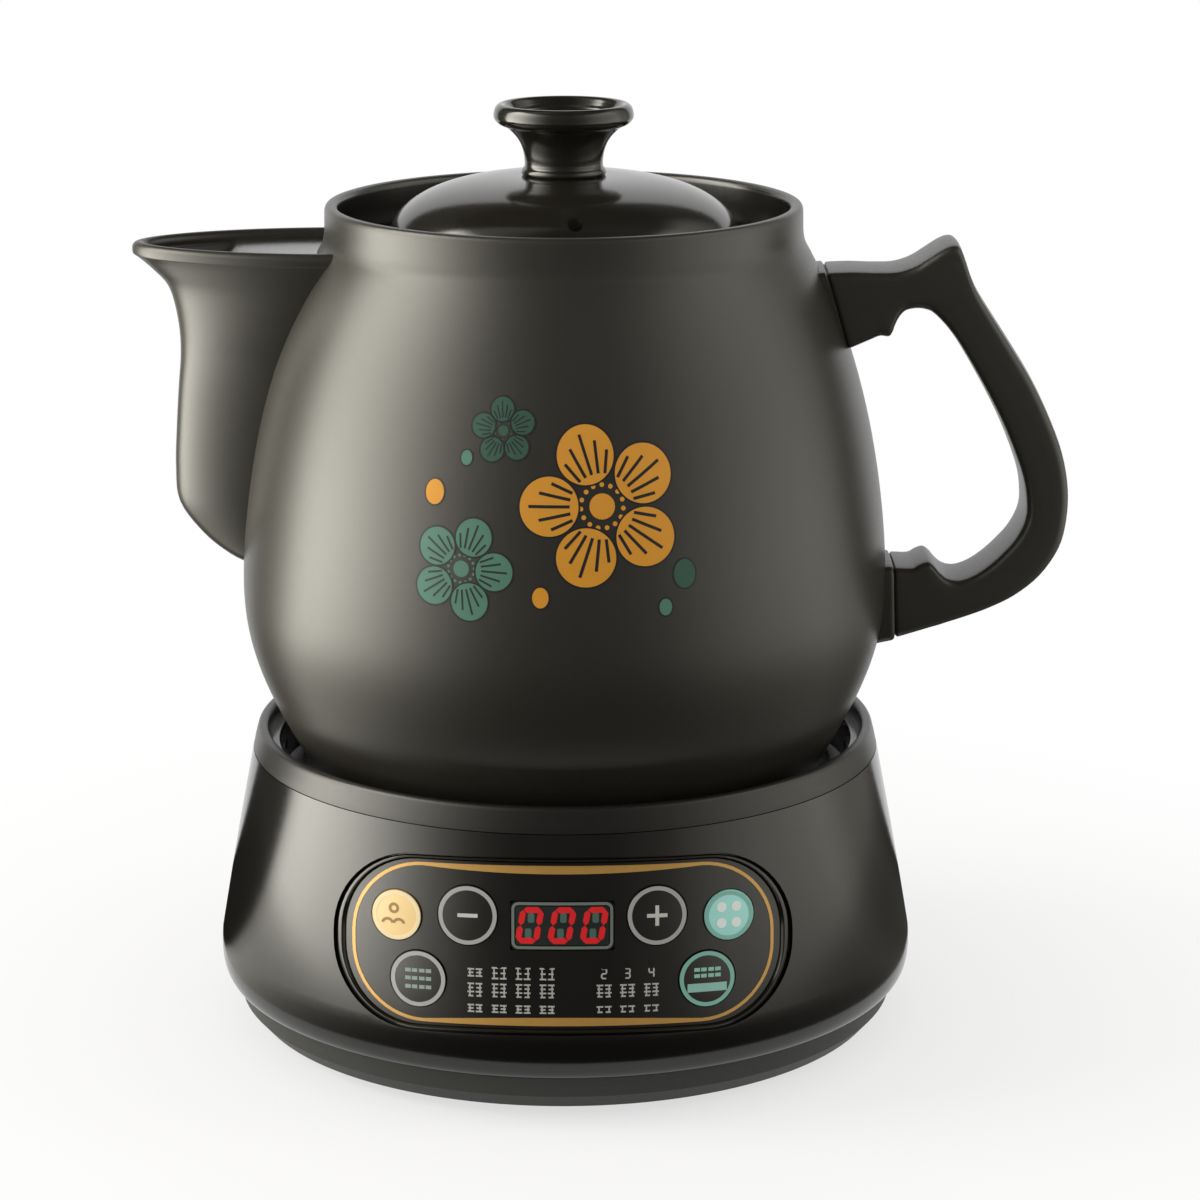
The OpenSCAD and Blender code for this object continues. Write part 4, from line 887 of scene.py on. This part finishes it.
class MakeShell(bpy.types.Operator):
    """Makes the base's polished skirt with its panel recess and inlet opening, and the ring on its deck"""
    bl_idname = "pot.make_shell"
    bl_label = "Base shell and ring"

    def inlet_frame(self, s):
        """A frame that joins the skirt to the face of the mains inlet."""
        bottom, top = low("inlet_socket").z, high("inlet_socket").z
        table = skirt_outline(s)
        rows = []
        for wider, taller, depth in ((6, 4, INLET_BACK), (6, 4, 0), (0, 0, 0), (0, 0, INLET_BACK)):
            path = rounded_rect(INLET_MOUTH[0] + wider, top - bottom + INLET_GAP + taller, 1.2,
                                (0, (bottom + top) / 2), 8, 6, 4)
            rows.append([point(x, depth or math.sqrt((lookup(table, z) - 1) ** 2 - x * x), z)
                         for x, z in path])
        return hoop(rows)

    def execute(self, context):
        s = sizes()
        colours = context.scene.pot_colours
        panel = PanelFrame(s)
        wall, deck = s["shell_wall"], s["deck_z"]
        edge_z = deck - RING_DROP
        outer = skirt_outline(s)
        outer = [p for p in outer if p[1] < edge_z - 0.5] + [(lookup(outer, edge_z), edge_z)]
        inner = [(r - wall, min(z, deck - wall)) for r, z in reversed(outer)]
        seat = [(RING_SEAT_R, edge_z), (RING_SEAT_R, deck), (DECK_HOLE_R, deck), (DECK_HOLE_R, deck - wall)]
        recess = loft([[panel.line(u, v, d) * MM for u, v in panel_outline(0, 0)] for d in (-40, 40)])
        shell = shell_finish(colours)
        piece("base_skirt", [lathe(outer + seat + inner)], shell, "base", ["outer_shell"],
              [recess, block(INLET_AT, INLET_MOUTH)])
        piece("inlet_frame", [self.inlet_frame(s)], shell, "base")
        top = high("top_ring").z
        foot_r, foot_z = lookup(outer, edge_z) - 0.15, edge_z + RING_PLAY
        out_r, in_r = SKIRT_TOP_R - 0.8, RING_IN_R
        side = bezier([(foot_r, foot_z), (foot_r - 0.4, deck + 1.2), (out_r, top - 3.4),
                       (out_r - 0.6, top - 1.1)], 12)
        brow = bezier(about(out_r, top, (-0.6, -1.1), (-1, -0.2), (-1.5, 0), (-2, 0)), 8)
        fall = bezier(about(in_r, top, (0.9, 0), (0, -0.1), (-0.6, -1.4), (-1.2, -3.8)), 8)
        under = [(in_r - 1.6, deck + 0.8), (RING_SEAT_R + 0.4, deck + 0.8), (RING_SEAT_R + 0.4, foot_z)]
        piece("seat_ring", [lathe(side + brow[1:] + fall + under)], ring_finish(colours), "base",
              ["top_ring"])
        return {"FINISHED"}


# ---- Control panel

# Across the bezel: share of its width from the outer edge, and rise over the skirt
BEZEL_PROFILE = [(0.05, -4), (0.05, -1.5), (0.27, -1.45), (0.33, -0.5), (0.37, -0.2), (0.43, -0.1),
                 (0.63, -0.15), (0.72, -0.4), (0.9, -1.3), (0.97, -1.6), (0.97, -4)]
GILT_ENDS, GILT_EDGES = 6.3, 2.9
GILT_SWELL, GILT_SWELL_REACH = 1.6, 44
# The display's window: place along the panel, place up the slope, width and height
WINDOW = (0, 8.7, 32.6, 15.4)
# Each key: node, place along the panel, place up the slope, radius, cap colour, ring colour
KEYS = [
    ("key_minus", -30, 11.51, 9.5, "shell", "ring"),
    ("key_plus", 30, 11.51, 9.5, "shell", "ring"),
    ("key_amber", -53, 10.22, 8, "amber", "amber"),
    ("key_aqua", 53, 10.22, 8, "aqua", "aqua"),
    ("key_left", -46, -9.62, 9, "shell", "ring"),
    ("key_right", 46, -9.62, 9, "shell", "aqua")]


class MakePanel(bpy.types.Operator):
    """Makes the control panel's bezel, its glossy face and the gilt line on it"""
    bl_idname = "pot.make_panel"
    bl_label = "Panel face and gilt line"

    def gilt_line(self, s, panel):
        """A thin raised line that is wider in the middle of the panel's long sides."""
        w = s["gilt_w"]
        outer = panel_outline(GILT_ENDS, GILT_EDGES, 1)
        inner = []
        for u, v in panel_outline(GILT_ENDS + w, GILT_EDGES + w, 1):
            swell = GILT_SWELL * max(0, 1 - (u / GILT_SWELL_REACH) ** 2)
            inner.append((u, v - math.copysign(swell, v - PANEL_LIFT)))
        bottom, top = FACE_RISE - 0.2, FACE_RISE + 0.12
        return hoop([[panel.at(u, v, rise) for u, v in path] for path, rise in (
            (outer, bottom), (outer, top), (inner, top), (inner, bottom))])

    def execute(self, context):
        s = sizes()
        colours = context.scene.pot_colours
        panel = PanelFrame(s)
        gloss = shell_finish(colours)
        w, edge = s["bezel_w"], s["bezel_edge"]
        rows = [[panel.at(u, v, rise) for u, v in panel_outline(w * share, edge * share)]
                for share, rise in BEZEL_PROFILE]
        piece("panel_frame", [hoop(rows)], gloss, "base", ["panel_bezel"])
        face = pad(panel_outline(w, edge), (0, PANEL_LIFT), panel.at, FACE_RISE - 2.5, FACE_RISE, rings=26)
        holes = [rod(panel.line(u, v, -34), panel.line(u, v, 34), r + 0.3, 64) for _, u, v, r, _, _ in KEYS]
        u, v, wide, tall = WINDOW
        mouth = rounded_rect(wide + 0.4, tall + 0.4, 0.6, (u, v), 4, 4, 3)
        holes.append(loft([[panel.line(x, y, d) * MM for x, y in mouth] for d in (-12, 12)]))
        piece("panel_face", [face], gloss, "base", ["panel_fascia"], holes)
        piece("gilt_line", [self.gilt_line(s, panel)], gilt_finish(colours), "base", ["gilt_trim"])
        return {"FINISHED"}


# Ends of the seven bars of a digit, as shares of its half width and half height
BARS = [((-1, 1), (1, 1)), ((1, 1), (1, 0)), ((1, 0), (1, -1)), ((-1, -1), (1, -1)), ((-1, 0), (-1, -1)),
        ((-1, 1), (-1, 0)), ((-1, 0), (1, 0))]
LIT = {"0": (0, 1, 2, 3, 4, 5), "2": (0, 1, 6, 4, 3), "3": (0, 1, 6, 2, 3), "4": (5, 6, 1, 2)}
BAR_TIP = 0.15
DIGIT_XS = (-10.3, -0.1, 10.1)


def digit_bars(sign, centre, w, h, line, place, bottom, top, slant, gap):
    """Raised bars with pointed ends that draw a digit."""
    made = []
    for bar in LIT[sign]:
        (u0, v0), (u1, v1) = [(centre[0] + x * w / 2 + slant * y * h / 2, centre[1] + y * h / 2)
                              for x, y in BARS[bar]]
        along = (u1 - u0, v1 - v0)
        run = math.hypot(*along)
        made.append(loft([
            section((u + along[0] / run * step, v + along[1] / run * step), along, wide, place, bottom, top)
            for u, v, step, wide in ((u0, v0, gap, BAR_TIP), (u0, v0, gap + line / 2, line),
                                     (u1, v1, -gap - line / 2, line), (u1, v1, -gap, BAR_TIP))]))
    return made


class MakeDisplay(bpy.types.Operator):
    """Makes the number display: a smoked window, its border line and three lit digits"""
    bl_idname = "pot.make_display"
    bl_label = "Number display"

    def execute(self, context):
        colours = context.scene.pot_colours
        at = PanelFrame(sizes()).at
        u, v, wide, tall = WINDOW
        top = FACE_RISE + 0.15
        outline = rounded_rect(wide, tall, 1.6, (u, v), 12, 6, 6)
        piece("display_window", [pad(outline, (u, v), at, FACE_RISE - 2.4, top, rings=8)],
              window_finish(colours), "base", ["display_lens"])
        line = rounded_rect(31.2, 14, 1.8, (u, v), 12, 6, 6)
        back = rounded_rect(29.4, 12.2, 1, (u, v), 10, 5, 4)
        piece("display_border", [ribbon(line, 0.9, at, top - 0.1, top + 0.1, closed=True)],
              print_finish("display_border_ink", srgb("#6f7a72")), "base")
        piece("display_back", [pad(back, (u, v), at, top - 0.1, top + 0.03, rings=6)],
              print_finish("unlit_display_grey", srgb("#1d2523")), "base")
        unlit, bars = [], []
        for x in DIGIT_XS:
            for spot in ((u + x + 0.45, v + 2.5), (u + x - 0.45, v - 2.4)):
                unlit.append(pad(rounded_rect(2.1, 3.1, 0.6, spot, 2, 2, 3), spot, at, top - 0.05,
                                 top + 0.08, rings=2))
            bars += digit_bars("0", (u + x, v + 0.1), 5.7, 9.8, 1.9, at, top, top + 0.12, 0.18, 0.1)
        piece("display_unlit", unlit, print_finish("unlit_display_green", srgb("#4b6a5f")), "base")
        piece("display_digits", bars, digit_finish(colours), "base")
        return {"FINISHED"}


class MakeKeys(bpy.types.Operator):
    """Makes the six keys with their rings and plain signs"""
    bl_idname = "pot.make_keys"
    bl_label = "Keys"

    def signs(self, name, place, r, rise):
        """Plain raised signs on a key."""
        bottom, top = rise - 0.1, rise + 0.08
        bar = 0.34 * r

        def line(points, width, closed=False):
            return ribbon(points, width, place, bottom, top, closed)

        if name in ("key_minus", "key_plus"):
            upright = [line([(0, -bar), (0, bar)], 1.2)] if name == "key_plus" else []
            return [line([(-bar, 0), (bar, 0)], 1.2)] + upright
        if name == "key_amber":
            bowls = [line(circle((x * r, -0.32 * r), 0.2 * r, 14, 0.8, math.pi), 0.9) for x in (-0.36, 0.1)]
            return bowls + [line(circle((-0.1 * r, 0.28 * r), 0.16 * r, 20), 0.9, True)]
        if name == "key_aqua":
            spots = [(x * r, y * r) for x, y in ((-0.3, 0.34), (0.3, 0.34), (-0.3, -0.3), (0.3, -0.3))]
            return [pad(circle(spot, 0.2 * r, 16), spot, place, bottom, top, rings=3) for spot in spots]
        rows = (0.3, 0.02, -0.28) if name == "key_left" else (0.34, 0.12)
        strokes = [line([((x - 0.1) * r, y * r), ((x + 0.1) * r, y * r)], 0.13 * r)
                   for y in rows for x in (-0.36, -0.12, 0.14, 0.38)]
        if name == "key_right":
            strokes.append(line([(x / 10 * r, -0.3 * r) for x in range(-7, 8)], 0.3 * r))
        return strokes

    def execute(self, context):
        colours = context.scene.pot_colours
        panel = PanelFrame(sizes())
        caps = {"shell": key_finish("polished_black_key_cap", shade(colours.shell, 1.1)),
                "amber": key_finish("amber_key_cap", colours.amber),
                "aqua": key_finish("aqua_key_cap", colours.aqua)}
        inks = {"ring": print_finish("grey_ring_ink", colours.ring),
                "amber": print_finish("cream_ring_ink", srgb("#f3dcae")),
                "aqua": print_finish("sea_ring_ink", srgb("#7fb8a8"))}
        signs = {"key_amber": print_finish("brown_sign_ink", srgb("#9a7440")),
                 "key_aqua": print_finish("white_sign_ink", srgb("#e9f2ea")),
                 "key_right": print_finish("sea_sign_ink", srgb("#8fc4b4")),
                 "key_left": print_finish("grey_sign_ink", srgb("#8f9c96"))}
        pale = print_finish("pale_sign_ink", srgb("#c9c9c2"))
        top = FACE_RISE + KEY_RISE
        for name, u, v, r, cap, ring in KEYS:
            def at(x, y, rise, u=u, v=v):
                return panel.at(u + x, v + y, rise)

            form = pad(circle((0, 0), r, 72), (0, 0), at, FACE_RISE - 3.2, top, crown=0.12, edge=0.5,
                       rings=10)
            sag = panel.radius - math.sqrt(panel.radius ** 2 - u * u)
            stem = rod(panel.line(u, v, -sag - 9), panel.line(u, v, -sag - 4), 2)
            border = ribbon(circle((0, 0), r - 0.85, 72), 1.3, at, top - 0.25, top + 0.1, closed=True)
            piece(name + "_cap", [form, stem], caps[cap], name, [name])
            piece(name + "_ring", [border], inks[ring], name)
            piece(name + "_sign", self.signs(name, at, r, top + 0.1), signs.get(name, pale), name)
        return {"FINISHED"}


# Middle line of each column of marks, the three rows that they stand in, and the numbers over the last ones
MARK_COLUMNS = (-27.7, -20, -12.4, -4.8)
MARK_ROWS = (-6.7, -12.2, -18.1)
NUMBERED_COLUMNS = (("2", 13.2), ("3", 20.6), ("4", 28.2))


class MakeMarks(bpy.types.Operator):
    """Prints the panel's rows of plain marks and numbers under the lights"""
    bl_idname = "pot.make_marks"
    bl_label = "Panel marks"

    def execute(self, context):
        s = sizes()
        at = PanelFrame(s).at
        bottom, top = FACE_RISE - 0.1, FACE_RISE + s["print_t"]
        shapes = []

        def mark(u, v, h, strokes):
            """Two small signs' worth of grey strokes: level bars crossed by an upright one."""
            for side in (-1, 1):
                x = u + side * 1.3
                for k in range(strokes):
                    y = v + h * (k / (strokes - 1) - 0.5)
                    half = 1.05 - 0.25 * ((k + side + strokes) % 2)
                    shapes.append(ribbon([(x - half, y), (x, y), (x + half, y)], 0.5, at, bottom, top))
                x += 0.3 * side
                shapes.append(ribbon([(x, v - h / 2), (x, v), (x, v + h / 2)], 0.45, at, bottom, top))

        first, second, third = MARK_ROWS
        for i, u in enumerate(MARK_COLUMNS):
            mark(u, first, 2.2 + 1.2 * min(i, 1), 3)
            mark(u, second, 3.9, 4)
            mark(u, third, 2.1, 3)
        for sign, u in NUMBERED_COLUMNS:
            shapes += digit_bars(sign, (u, first), 1.5, 3, 0.5, at, bottom, top, 0, 0.05)
            mark(u, second, 3.6, 4)
            mark(u, third, 1.7, 2)
        ink = print_finish("pale_screen_ink", context.scene.pot_colours.marks)
        piece("panel_marks", shapes, ink, "base")
        return {"FINISHED"}


# ---- Inner parts

# Tone span and drift of bare metals and of everything else
METAL_TONE, PLAIN_TONE = ((0.88, 1.05), 14), ((0.9, 1.08), 10)
# Each: name, sRGB colour, roughness, grain and relief in mm, metallic, and the nodes made of it.
# A metal's rolled or turned grain is drawn coarser than life so that it shows.
INNER_PARTS = [
    # Rolled and plated: cool bright grey with a soft sheen
    ("zinc_plated_steel", "#b9bcc0", (0.3, 0.42), 0.8, 0.01, 1,
     ["housing_screws", "heating_tube", "plate_standoffs", "plate_screws", "sensor_bracket",
      "sensor_spring", "inlet_pins", "inlet_screws", "board_screws"]),
    # Cast and turned: a duller, darker grey
    ("cast_aluminium", "#9a9da1", (0.38, 0.52), 0.8, 0.01, 1, ["heating_plate", "sensor_cap"]),
    # Wound wire under clear enamel: warm and fairly bright
    ("enamelled_copper", "#b06a3a", (0.25, 0.35), 0.8, 0.01, 1, ["transformer", "mains_wires"]),
    # Pressed steel drawn near black, which paints in the shade of the deep gap between the pot and the
    # ring; its reflections stay clear
    ("black_enamelled_steel", "#070706", (0.14, 0.2), 1.2, 0, 0, ["reflector_pan"]),
    # Moulded: dull near-black
    ("moulded_rubber", "#17171a", (0.7, 0.8), 0.8, 0.02, 0, ["rubber_feet"]),
    # Pressed flakes: chalky and pale
    ("pressed_mica_board", "#cfc6b2", (0.7, 0.85), 0.8, 0.02, 0, ["insulation_disc", "thermal_fuse"]),
    # Printed lacquer: green with a soft gloss
    ("green_solder_mask", "#1f5a3a", (0.3, 0.42), 0.6, 0.01, 0, ["power_board", "control_board"]),
    # Moulded: slate blue with little gloss
    ("phenolic_moulding", "#22303f", (0.4, 0.5), 0.8, 0.02, 0,
     ["relay", "capacitor", "terminal_block", "led_display", "key_switches"]),
    # Braided: off-white with a coarse nap
    ("glass_braid_sleeve", "#dcd8cc", (0.7, 0.8), 0.4, 0.05, 0, ["heater_wires"]),
    # Cast: dark and glossy
    ("smoked_acrylic_guide", "#101211", (0.2, 0.3), 1, 0, 0, ["light_guides"]),
    # Extruded: plain grey
    ("grey_ribbon_sheath", "#8f9191", (0.5, 0.6), 0.8, 0.02, 0, ["ribbon_cable"])]


class FinishInnerParts(bpy.types.Operator):
    """Gives every frame node that stays its real finish"""
    bl_idname = "pot.finish_inner_parts"
    bl_label = "Inner parts"

    def give(self, made, nodes):
        """Puts a finish on the material slots of frame nodes."""
        for node in nodes:
            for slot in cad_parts[node].material_slots:
                slot.material = made

    def execute(self, context):
        housing = housing_finish(context.scene.pot_colours)
        self.give(housing, ["bottom_housing", "inlet_socket", "display_spacer"])
        for name, code, rough, grain_mm, bump_mm, metallic, nodes in INNER_PARTS:
            span, drift_mm = METAL_TONE if metallic else PLAIN_TONE
            made = finish(name, srgb(code), span, rough, grain_mm, drift_mm, bump_mm, Metallic=metallic)
            self.give(made, nodes)
        return {"FINISHED"}


# ---- Stage

# The stage is in metres
CAMERA_AT = (0.0119, -1.202, 0.456)
CAMERA_PITCH = 75.43
CAMERA_LENS = 109.86
FLOOR_R = 6
# Distances from the pot over which the floor's shadow fades, and how white the floor is at each
FADE_FROM, FADE_TO = (0.12, 0.66), (0.42, 1.0)
WORLD_LIGHT = 0.75
# Each softbox: name, place, the point it faces, width, height, power
SOFTBOXES = [
    ("left_softbox", (-1.25, -0.12, 0.42), (0, 0, 0.17), 0.75, 1.3, 17),
    ("right_softbox", (1.3, -0.1, 0.4), (0, 0, 0.17), 0.5, 1.2, 4)]
# What the studio walls send into reflections: turn from the camera towards the pot's left, brightness
WALL_LIGHT = [(-140, 0.1), (-126, 0.8), (-112, 1.2), (-98, 2.5), (-70, 2.1), (-52, 1.4), (-35, 0.5),
              (-15, 0.18), (15, 0.2), (25, 0.36), (33, 0.8), (44, 2.1), (54, 4.4), (66, 8), (78, 11.5),
              (92, 13.5), (102, 12.5), (107, 8), (110, 0.2), (140, 0.12)]
WALL_PEAK = 14
# How much of that each height sends: angle above the pot's middle, share
WALL_RISE = [(-55, 0.04), (-30, 0.12), (-23, 0.2), (-17, 0.54), (-12, 0.62), (-3, 0.76), (3, 0.68),
             (12, 0.58), (22, 0.6), (33, 0.72), (44, 0.74), (54, 0.05), (90, 0.02)]
RISE_PEAK = 0.8
MIDDLE_Z = 0.17
# Each row of the walls: distance, height and how far it reaches round to both sides
WALL_ROWS = [(0.15, 0.001, 137), (2.5, 0.001, 137), (2.5, 0.9, 137), (2.5, 1.6, 150), (1.9, 2.3, 179.9),
             (0.02, 2.5, 179.9)]


class MakeStage(bpy.types.Operator):
    """Sets up the camera, the pale floor, the dark studio walls, the softboxes and the white surround"""
    bl_idname = "pot.make_stage"
    bl_label = "Stage"

    def seen_ray(self, tree):
        """1 for a ray that the camera sends, straight or by a mirror or glass, else 0."""
        rays = add(tree, "LightPath").outputs
        seen = rays["Is Camera Ray"]
        for other in ("Is Glossy Ray", "Is Transmission Ray"):
            seen = add(tree, "Math", {0: seen, 1: rays[other]}, operation="MAXIMUM").outputs[0]
        return seen

    def make_floor(self):
        """A pale floor that holds the pot's shadow and fades to plain white away from it."""
        paper = bpy.data.materials.new("white_paper_sweep")
        tree, surface = fresh_nodes(paper)
        coords = add(tree, "TexCoord").outputs["Object"]
        reach = add(tree, "VectorMath", {0: coords}, operation="LENGTH").outputs["Value"]
        far = add(tree, "MapRange", {"Value": reach, "From Min": FADE_FROM[0], "From Max": FADE_TO[0],
                                     "To Min": FADE_FROM[1], "To Max": FADE_TO[1]},
                  interpolation_type="SMOOTHSTEP")
        seen_ray = self.seen_ray(tree)
        seen = add(tree, "Math", {0: far.outputs["Result"], 1: seen_ray}, operation="MULTIPLY")
        # Grey to the rays that light the pot from below, and near white to the camera
        tone = add(tree, "Mix", {"Factor": seen_ray, 6: srgb("#8d8b87"), 7: srgb("#f6f5f3")},
                   data_type="RGBA")
        matte = add(tree, "BsdfDiffuse", {"Color": tone.outputs[2]})
        light = add(tree, "Emission", {"Color": srgb("#ffffff"), "Strength": 1.0})
        mix = add(tree, "MixShader", {0: seen.outputs[0], 1: matte.outputs[0], 2: light.outputs[0]})
        tree.links.new(mix.outputs[0], surface)
        ring = [Vector((*polar(FLOOR_R, a), 0)) for a in angles(96)[:-1]]
        floor = mesh_object("floor", [(ring, [tuple(range(96))])])
        floor.data.materials.append(paper)

    def angle_ramp(self, tree, angle, levels, peak):
        """A share from 0 to 1 that follows an angle, from a list of degrees and levels."""
        share = add(tree, "MapRange", {"Value": angle, "From Min": -math.pi, "From Max": math.pi})
        ramp = add(tree, "ValToRGB", {"Fac": share.outputs["Result"]})
        stops = ramp.color_ramp.elements
        stops[0].position, stops[1].position = 0, 1
        for stop, (_, level) in ((stops[0], levels[0]), (stops[1], levels[-1])):
            stop.color = (level / peak,) * 3 + (1,)
        for degrees, level in levels:
            stops.new(degrees / 360 + 0.5).color = (level / peak,) * 3 + (1,)
        return ramp.outputs["Color"]

    def make_walls(self):
        """Studio walls, roof and table top on the camera's side, seen only in reflections."""
        cloth = bpy.data.materials.new("studio_surround")
        tree, surface = fresh_nodes(cloth)
        coords = add(tree, "TexCoord").outputs["Object"]
        place = add(tree, "SeparateXYZ", {"Vector": coords}).outputs
        flipped = [add(tree, "Math", {0: place[axis], 1: -1.0}, operation="MULTIPLY").outputs[0]
                   for axis in ("X", "Y")]
        turn = add(tree, "Math", {0: flipped[0], 1: flipped[1]}, operation="ARCTAN2")
        level = add(tree, "VectorMath", {0: coords, 1: (1, 1, 0)}, operation="MULTIPLY").outputs[0]
        out_by = add(tree, "VectorMath", {0: level}, operation="LENGTH").outputs["Value"]
        up_by = add(tree, "Math", {0: place["Z"], 1: MIDDLE_Z}, operation="SUBTRACT")
        rise = add(tree, "Math", {0: up_by.outputs[0], 1: out_by}, operation="ARCTAN2")
        shares = [self.angle_ramp(tree, turn.outputs[0], WALL_LIGHT, WALL_PEAK),
                  self.angle_ramp(tree, rise.outputs[0], WALL_RISE, RISE_PEAK)]
        both = add(tree, "Math", {0: shares[0], 1: shares[1]}, operation="MULTIPLY").outputs[0]
        power = add(tree, "Math", {0: both, 1: WALL_PEAK * RISE_PEAK}, operation="MULTIPLY").outputs[0]
        glow = add(tree, "Emission", {"Color": srgb("#f6f3e7"), "Strength": power})
        tree.links.new(glow.outputs[0], surface)
        rows = []
        for r, z, reach in WALL_ROWS:
            turns = [math.radians(reach * (i / 48 - 1)) for i in range(97)]
            rows.append([Vector((-r * math.sin(a), -r * math.cos(a), z)) for a in turns])
        walls = mesh_object("studio_walls", [loft(rows, closed=False, caps=False)])
        walls.data.materials.append(cloth)
        walls.visible_camera = False
        walls.visible_diffuse = False
        walls.visible_shadow = False

    def make_lights(self):
        """Two tall softboxes, the left one strong and the right one weak."""
        for name, place, target, width, height, power in SOFTBOXES:
            lamp = bpy.data.lights.new(name, "AREA")
            lamp.shape = "RECTANGLE"
            lamp.size, lamp.size_y = width, height
            lamp.energy = power
            lamp.color = srgb("#f8f6ec")[:3]
            made = bpy.data.objects.new(name, lamp)
            made.location = place
            made.rotation_euler = (Vector(target) - Vector(place)).to_track_quat("-Z", "Y").to_euler()
            made.visible_camera = False
            made.visible_glossy = False
            bpy.context.scene.collection.objects.link(made)

    def make_world(self, scene):
        """White to every ray that the camera sends, and a soft even light to the rest."""
        world = bpy.data.worlds.new("white_surround")
        tree, surface = fresh_nodes(world)
        plain, bright = [
            add(tree, "Background", {"Color": srgb("#ffffff"), "Strength": strength}).outputs[0]
            for strength in (WORLD_LIGHT, 1.0)]
        mix = add(tree, "MixShader", {0: self.seen_ray(tree), 1: plain, 2: bright})
        tree.links.new(mix.outputs[0], surface)
        scene.world = world

    def make_camera(self, scene):
        """A camera where the photograph was taken from."""
        lens = bpy.data.cameras.new("camera")
        lens.sensor_width = 36
        lens.lens = CAMERA_LENS
        camera = bpy.data.objects.new("camera", lens)
        camera.location = CAMERA_AT
        camera.rotation_euler = (math.radians(CAMERA_PITCH), 0, 0)
        scene.collection.objects.link(camera)
        scene.camera = camera

    def execute(self, context):
        scene = context.scene
        scene.view_settings.view_transform = "Standard"
        self.make_camera(scene)
        self.make_floor()
        self.make_walls()
        self.make_lights()
        self.make_world(scene)
        return {"FINISHED"}


# ---- Sidebar and registration

STEPS = [MakeStage, MakeVessel, MakeBlossoms, MakeLid, MakeShell, MakePanel, MakeDisplay, MakeKeys,
         MakeMarks, FinishInnerParts]


class PotSidebar(bpy.types.Panel):
    """Lists the sizes, the colours and the steps that make the pot"""
    bl_idname = "VIEW3D_PT_decoction_pot"
    bl_label = "Decoction pot"
    bl_space_type = "VIEW_3D"
    bl_region_type = "UI"
    bl_category = "Decoction Pot"

    def draw(self, context):
        for group in (context.scene.pot_sizes, context.scene.pot_colours):
            box = self.layout.box()
            for name in type(group).__annotations__:
                box.prop(group, name)
        for step in STEPS:
            self.layout.operator(step.bl_idname)


CLASSES = [PotSizes, PotColours, PotSidebar] + STEPS


def register():
    for cls in CLASSES:
        bpy.utils.register_class(cls)
    bpy.types.Scene.pot_sizes = PointerProperty(type=PotSizes)
    bpy.types.Scene.pot_colours = PointerProperty(type=PotColours)


def unregister():
    del bpy.types.Scene.pot_colours
    del bpy.types.Scene.pot_sizes
    for cls in reversed(CLASSES):
        bpy.utils.unregister_class(cls)


def main():
    """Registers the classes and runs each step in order."""
    register()
    bpy.ops.pot.make_stage()
    bpy.ops.pot.make_vessel()
    bpy.ops.pot.make_blossoms()
    bpy.ops.pot.make_lid()
    bpy.ops.pot.make_shell()
    bpy.ops.pot.make_panel()
    bpy.ops.pot.make_display()
    bpy.ops.pot.make_keys()
    bpy.ops.pot.make_marks()
    bpy.ops.pot.finish_inner_parts()


if __name__ == "__main__":
    main()
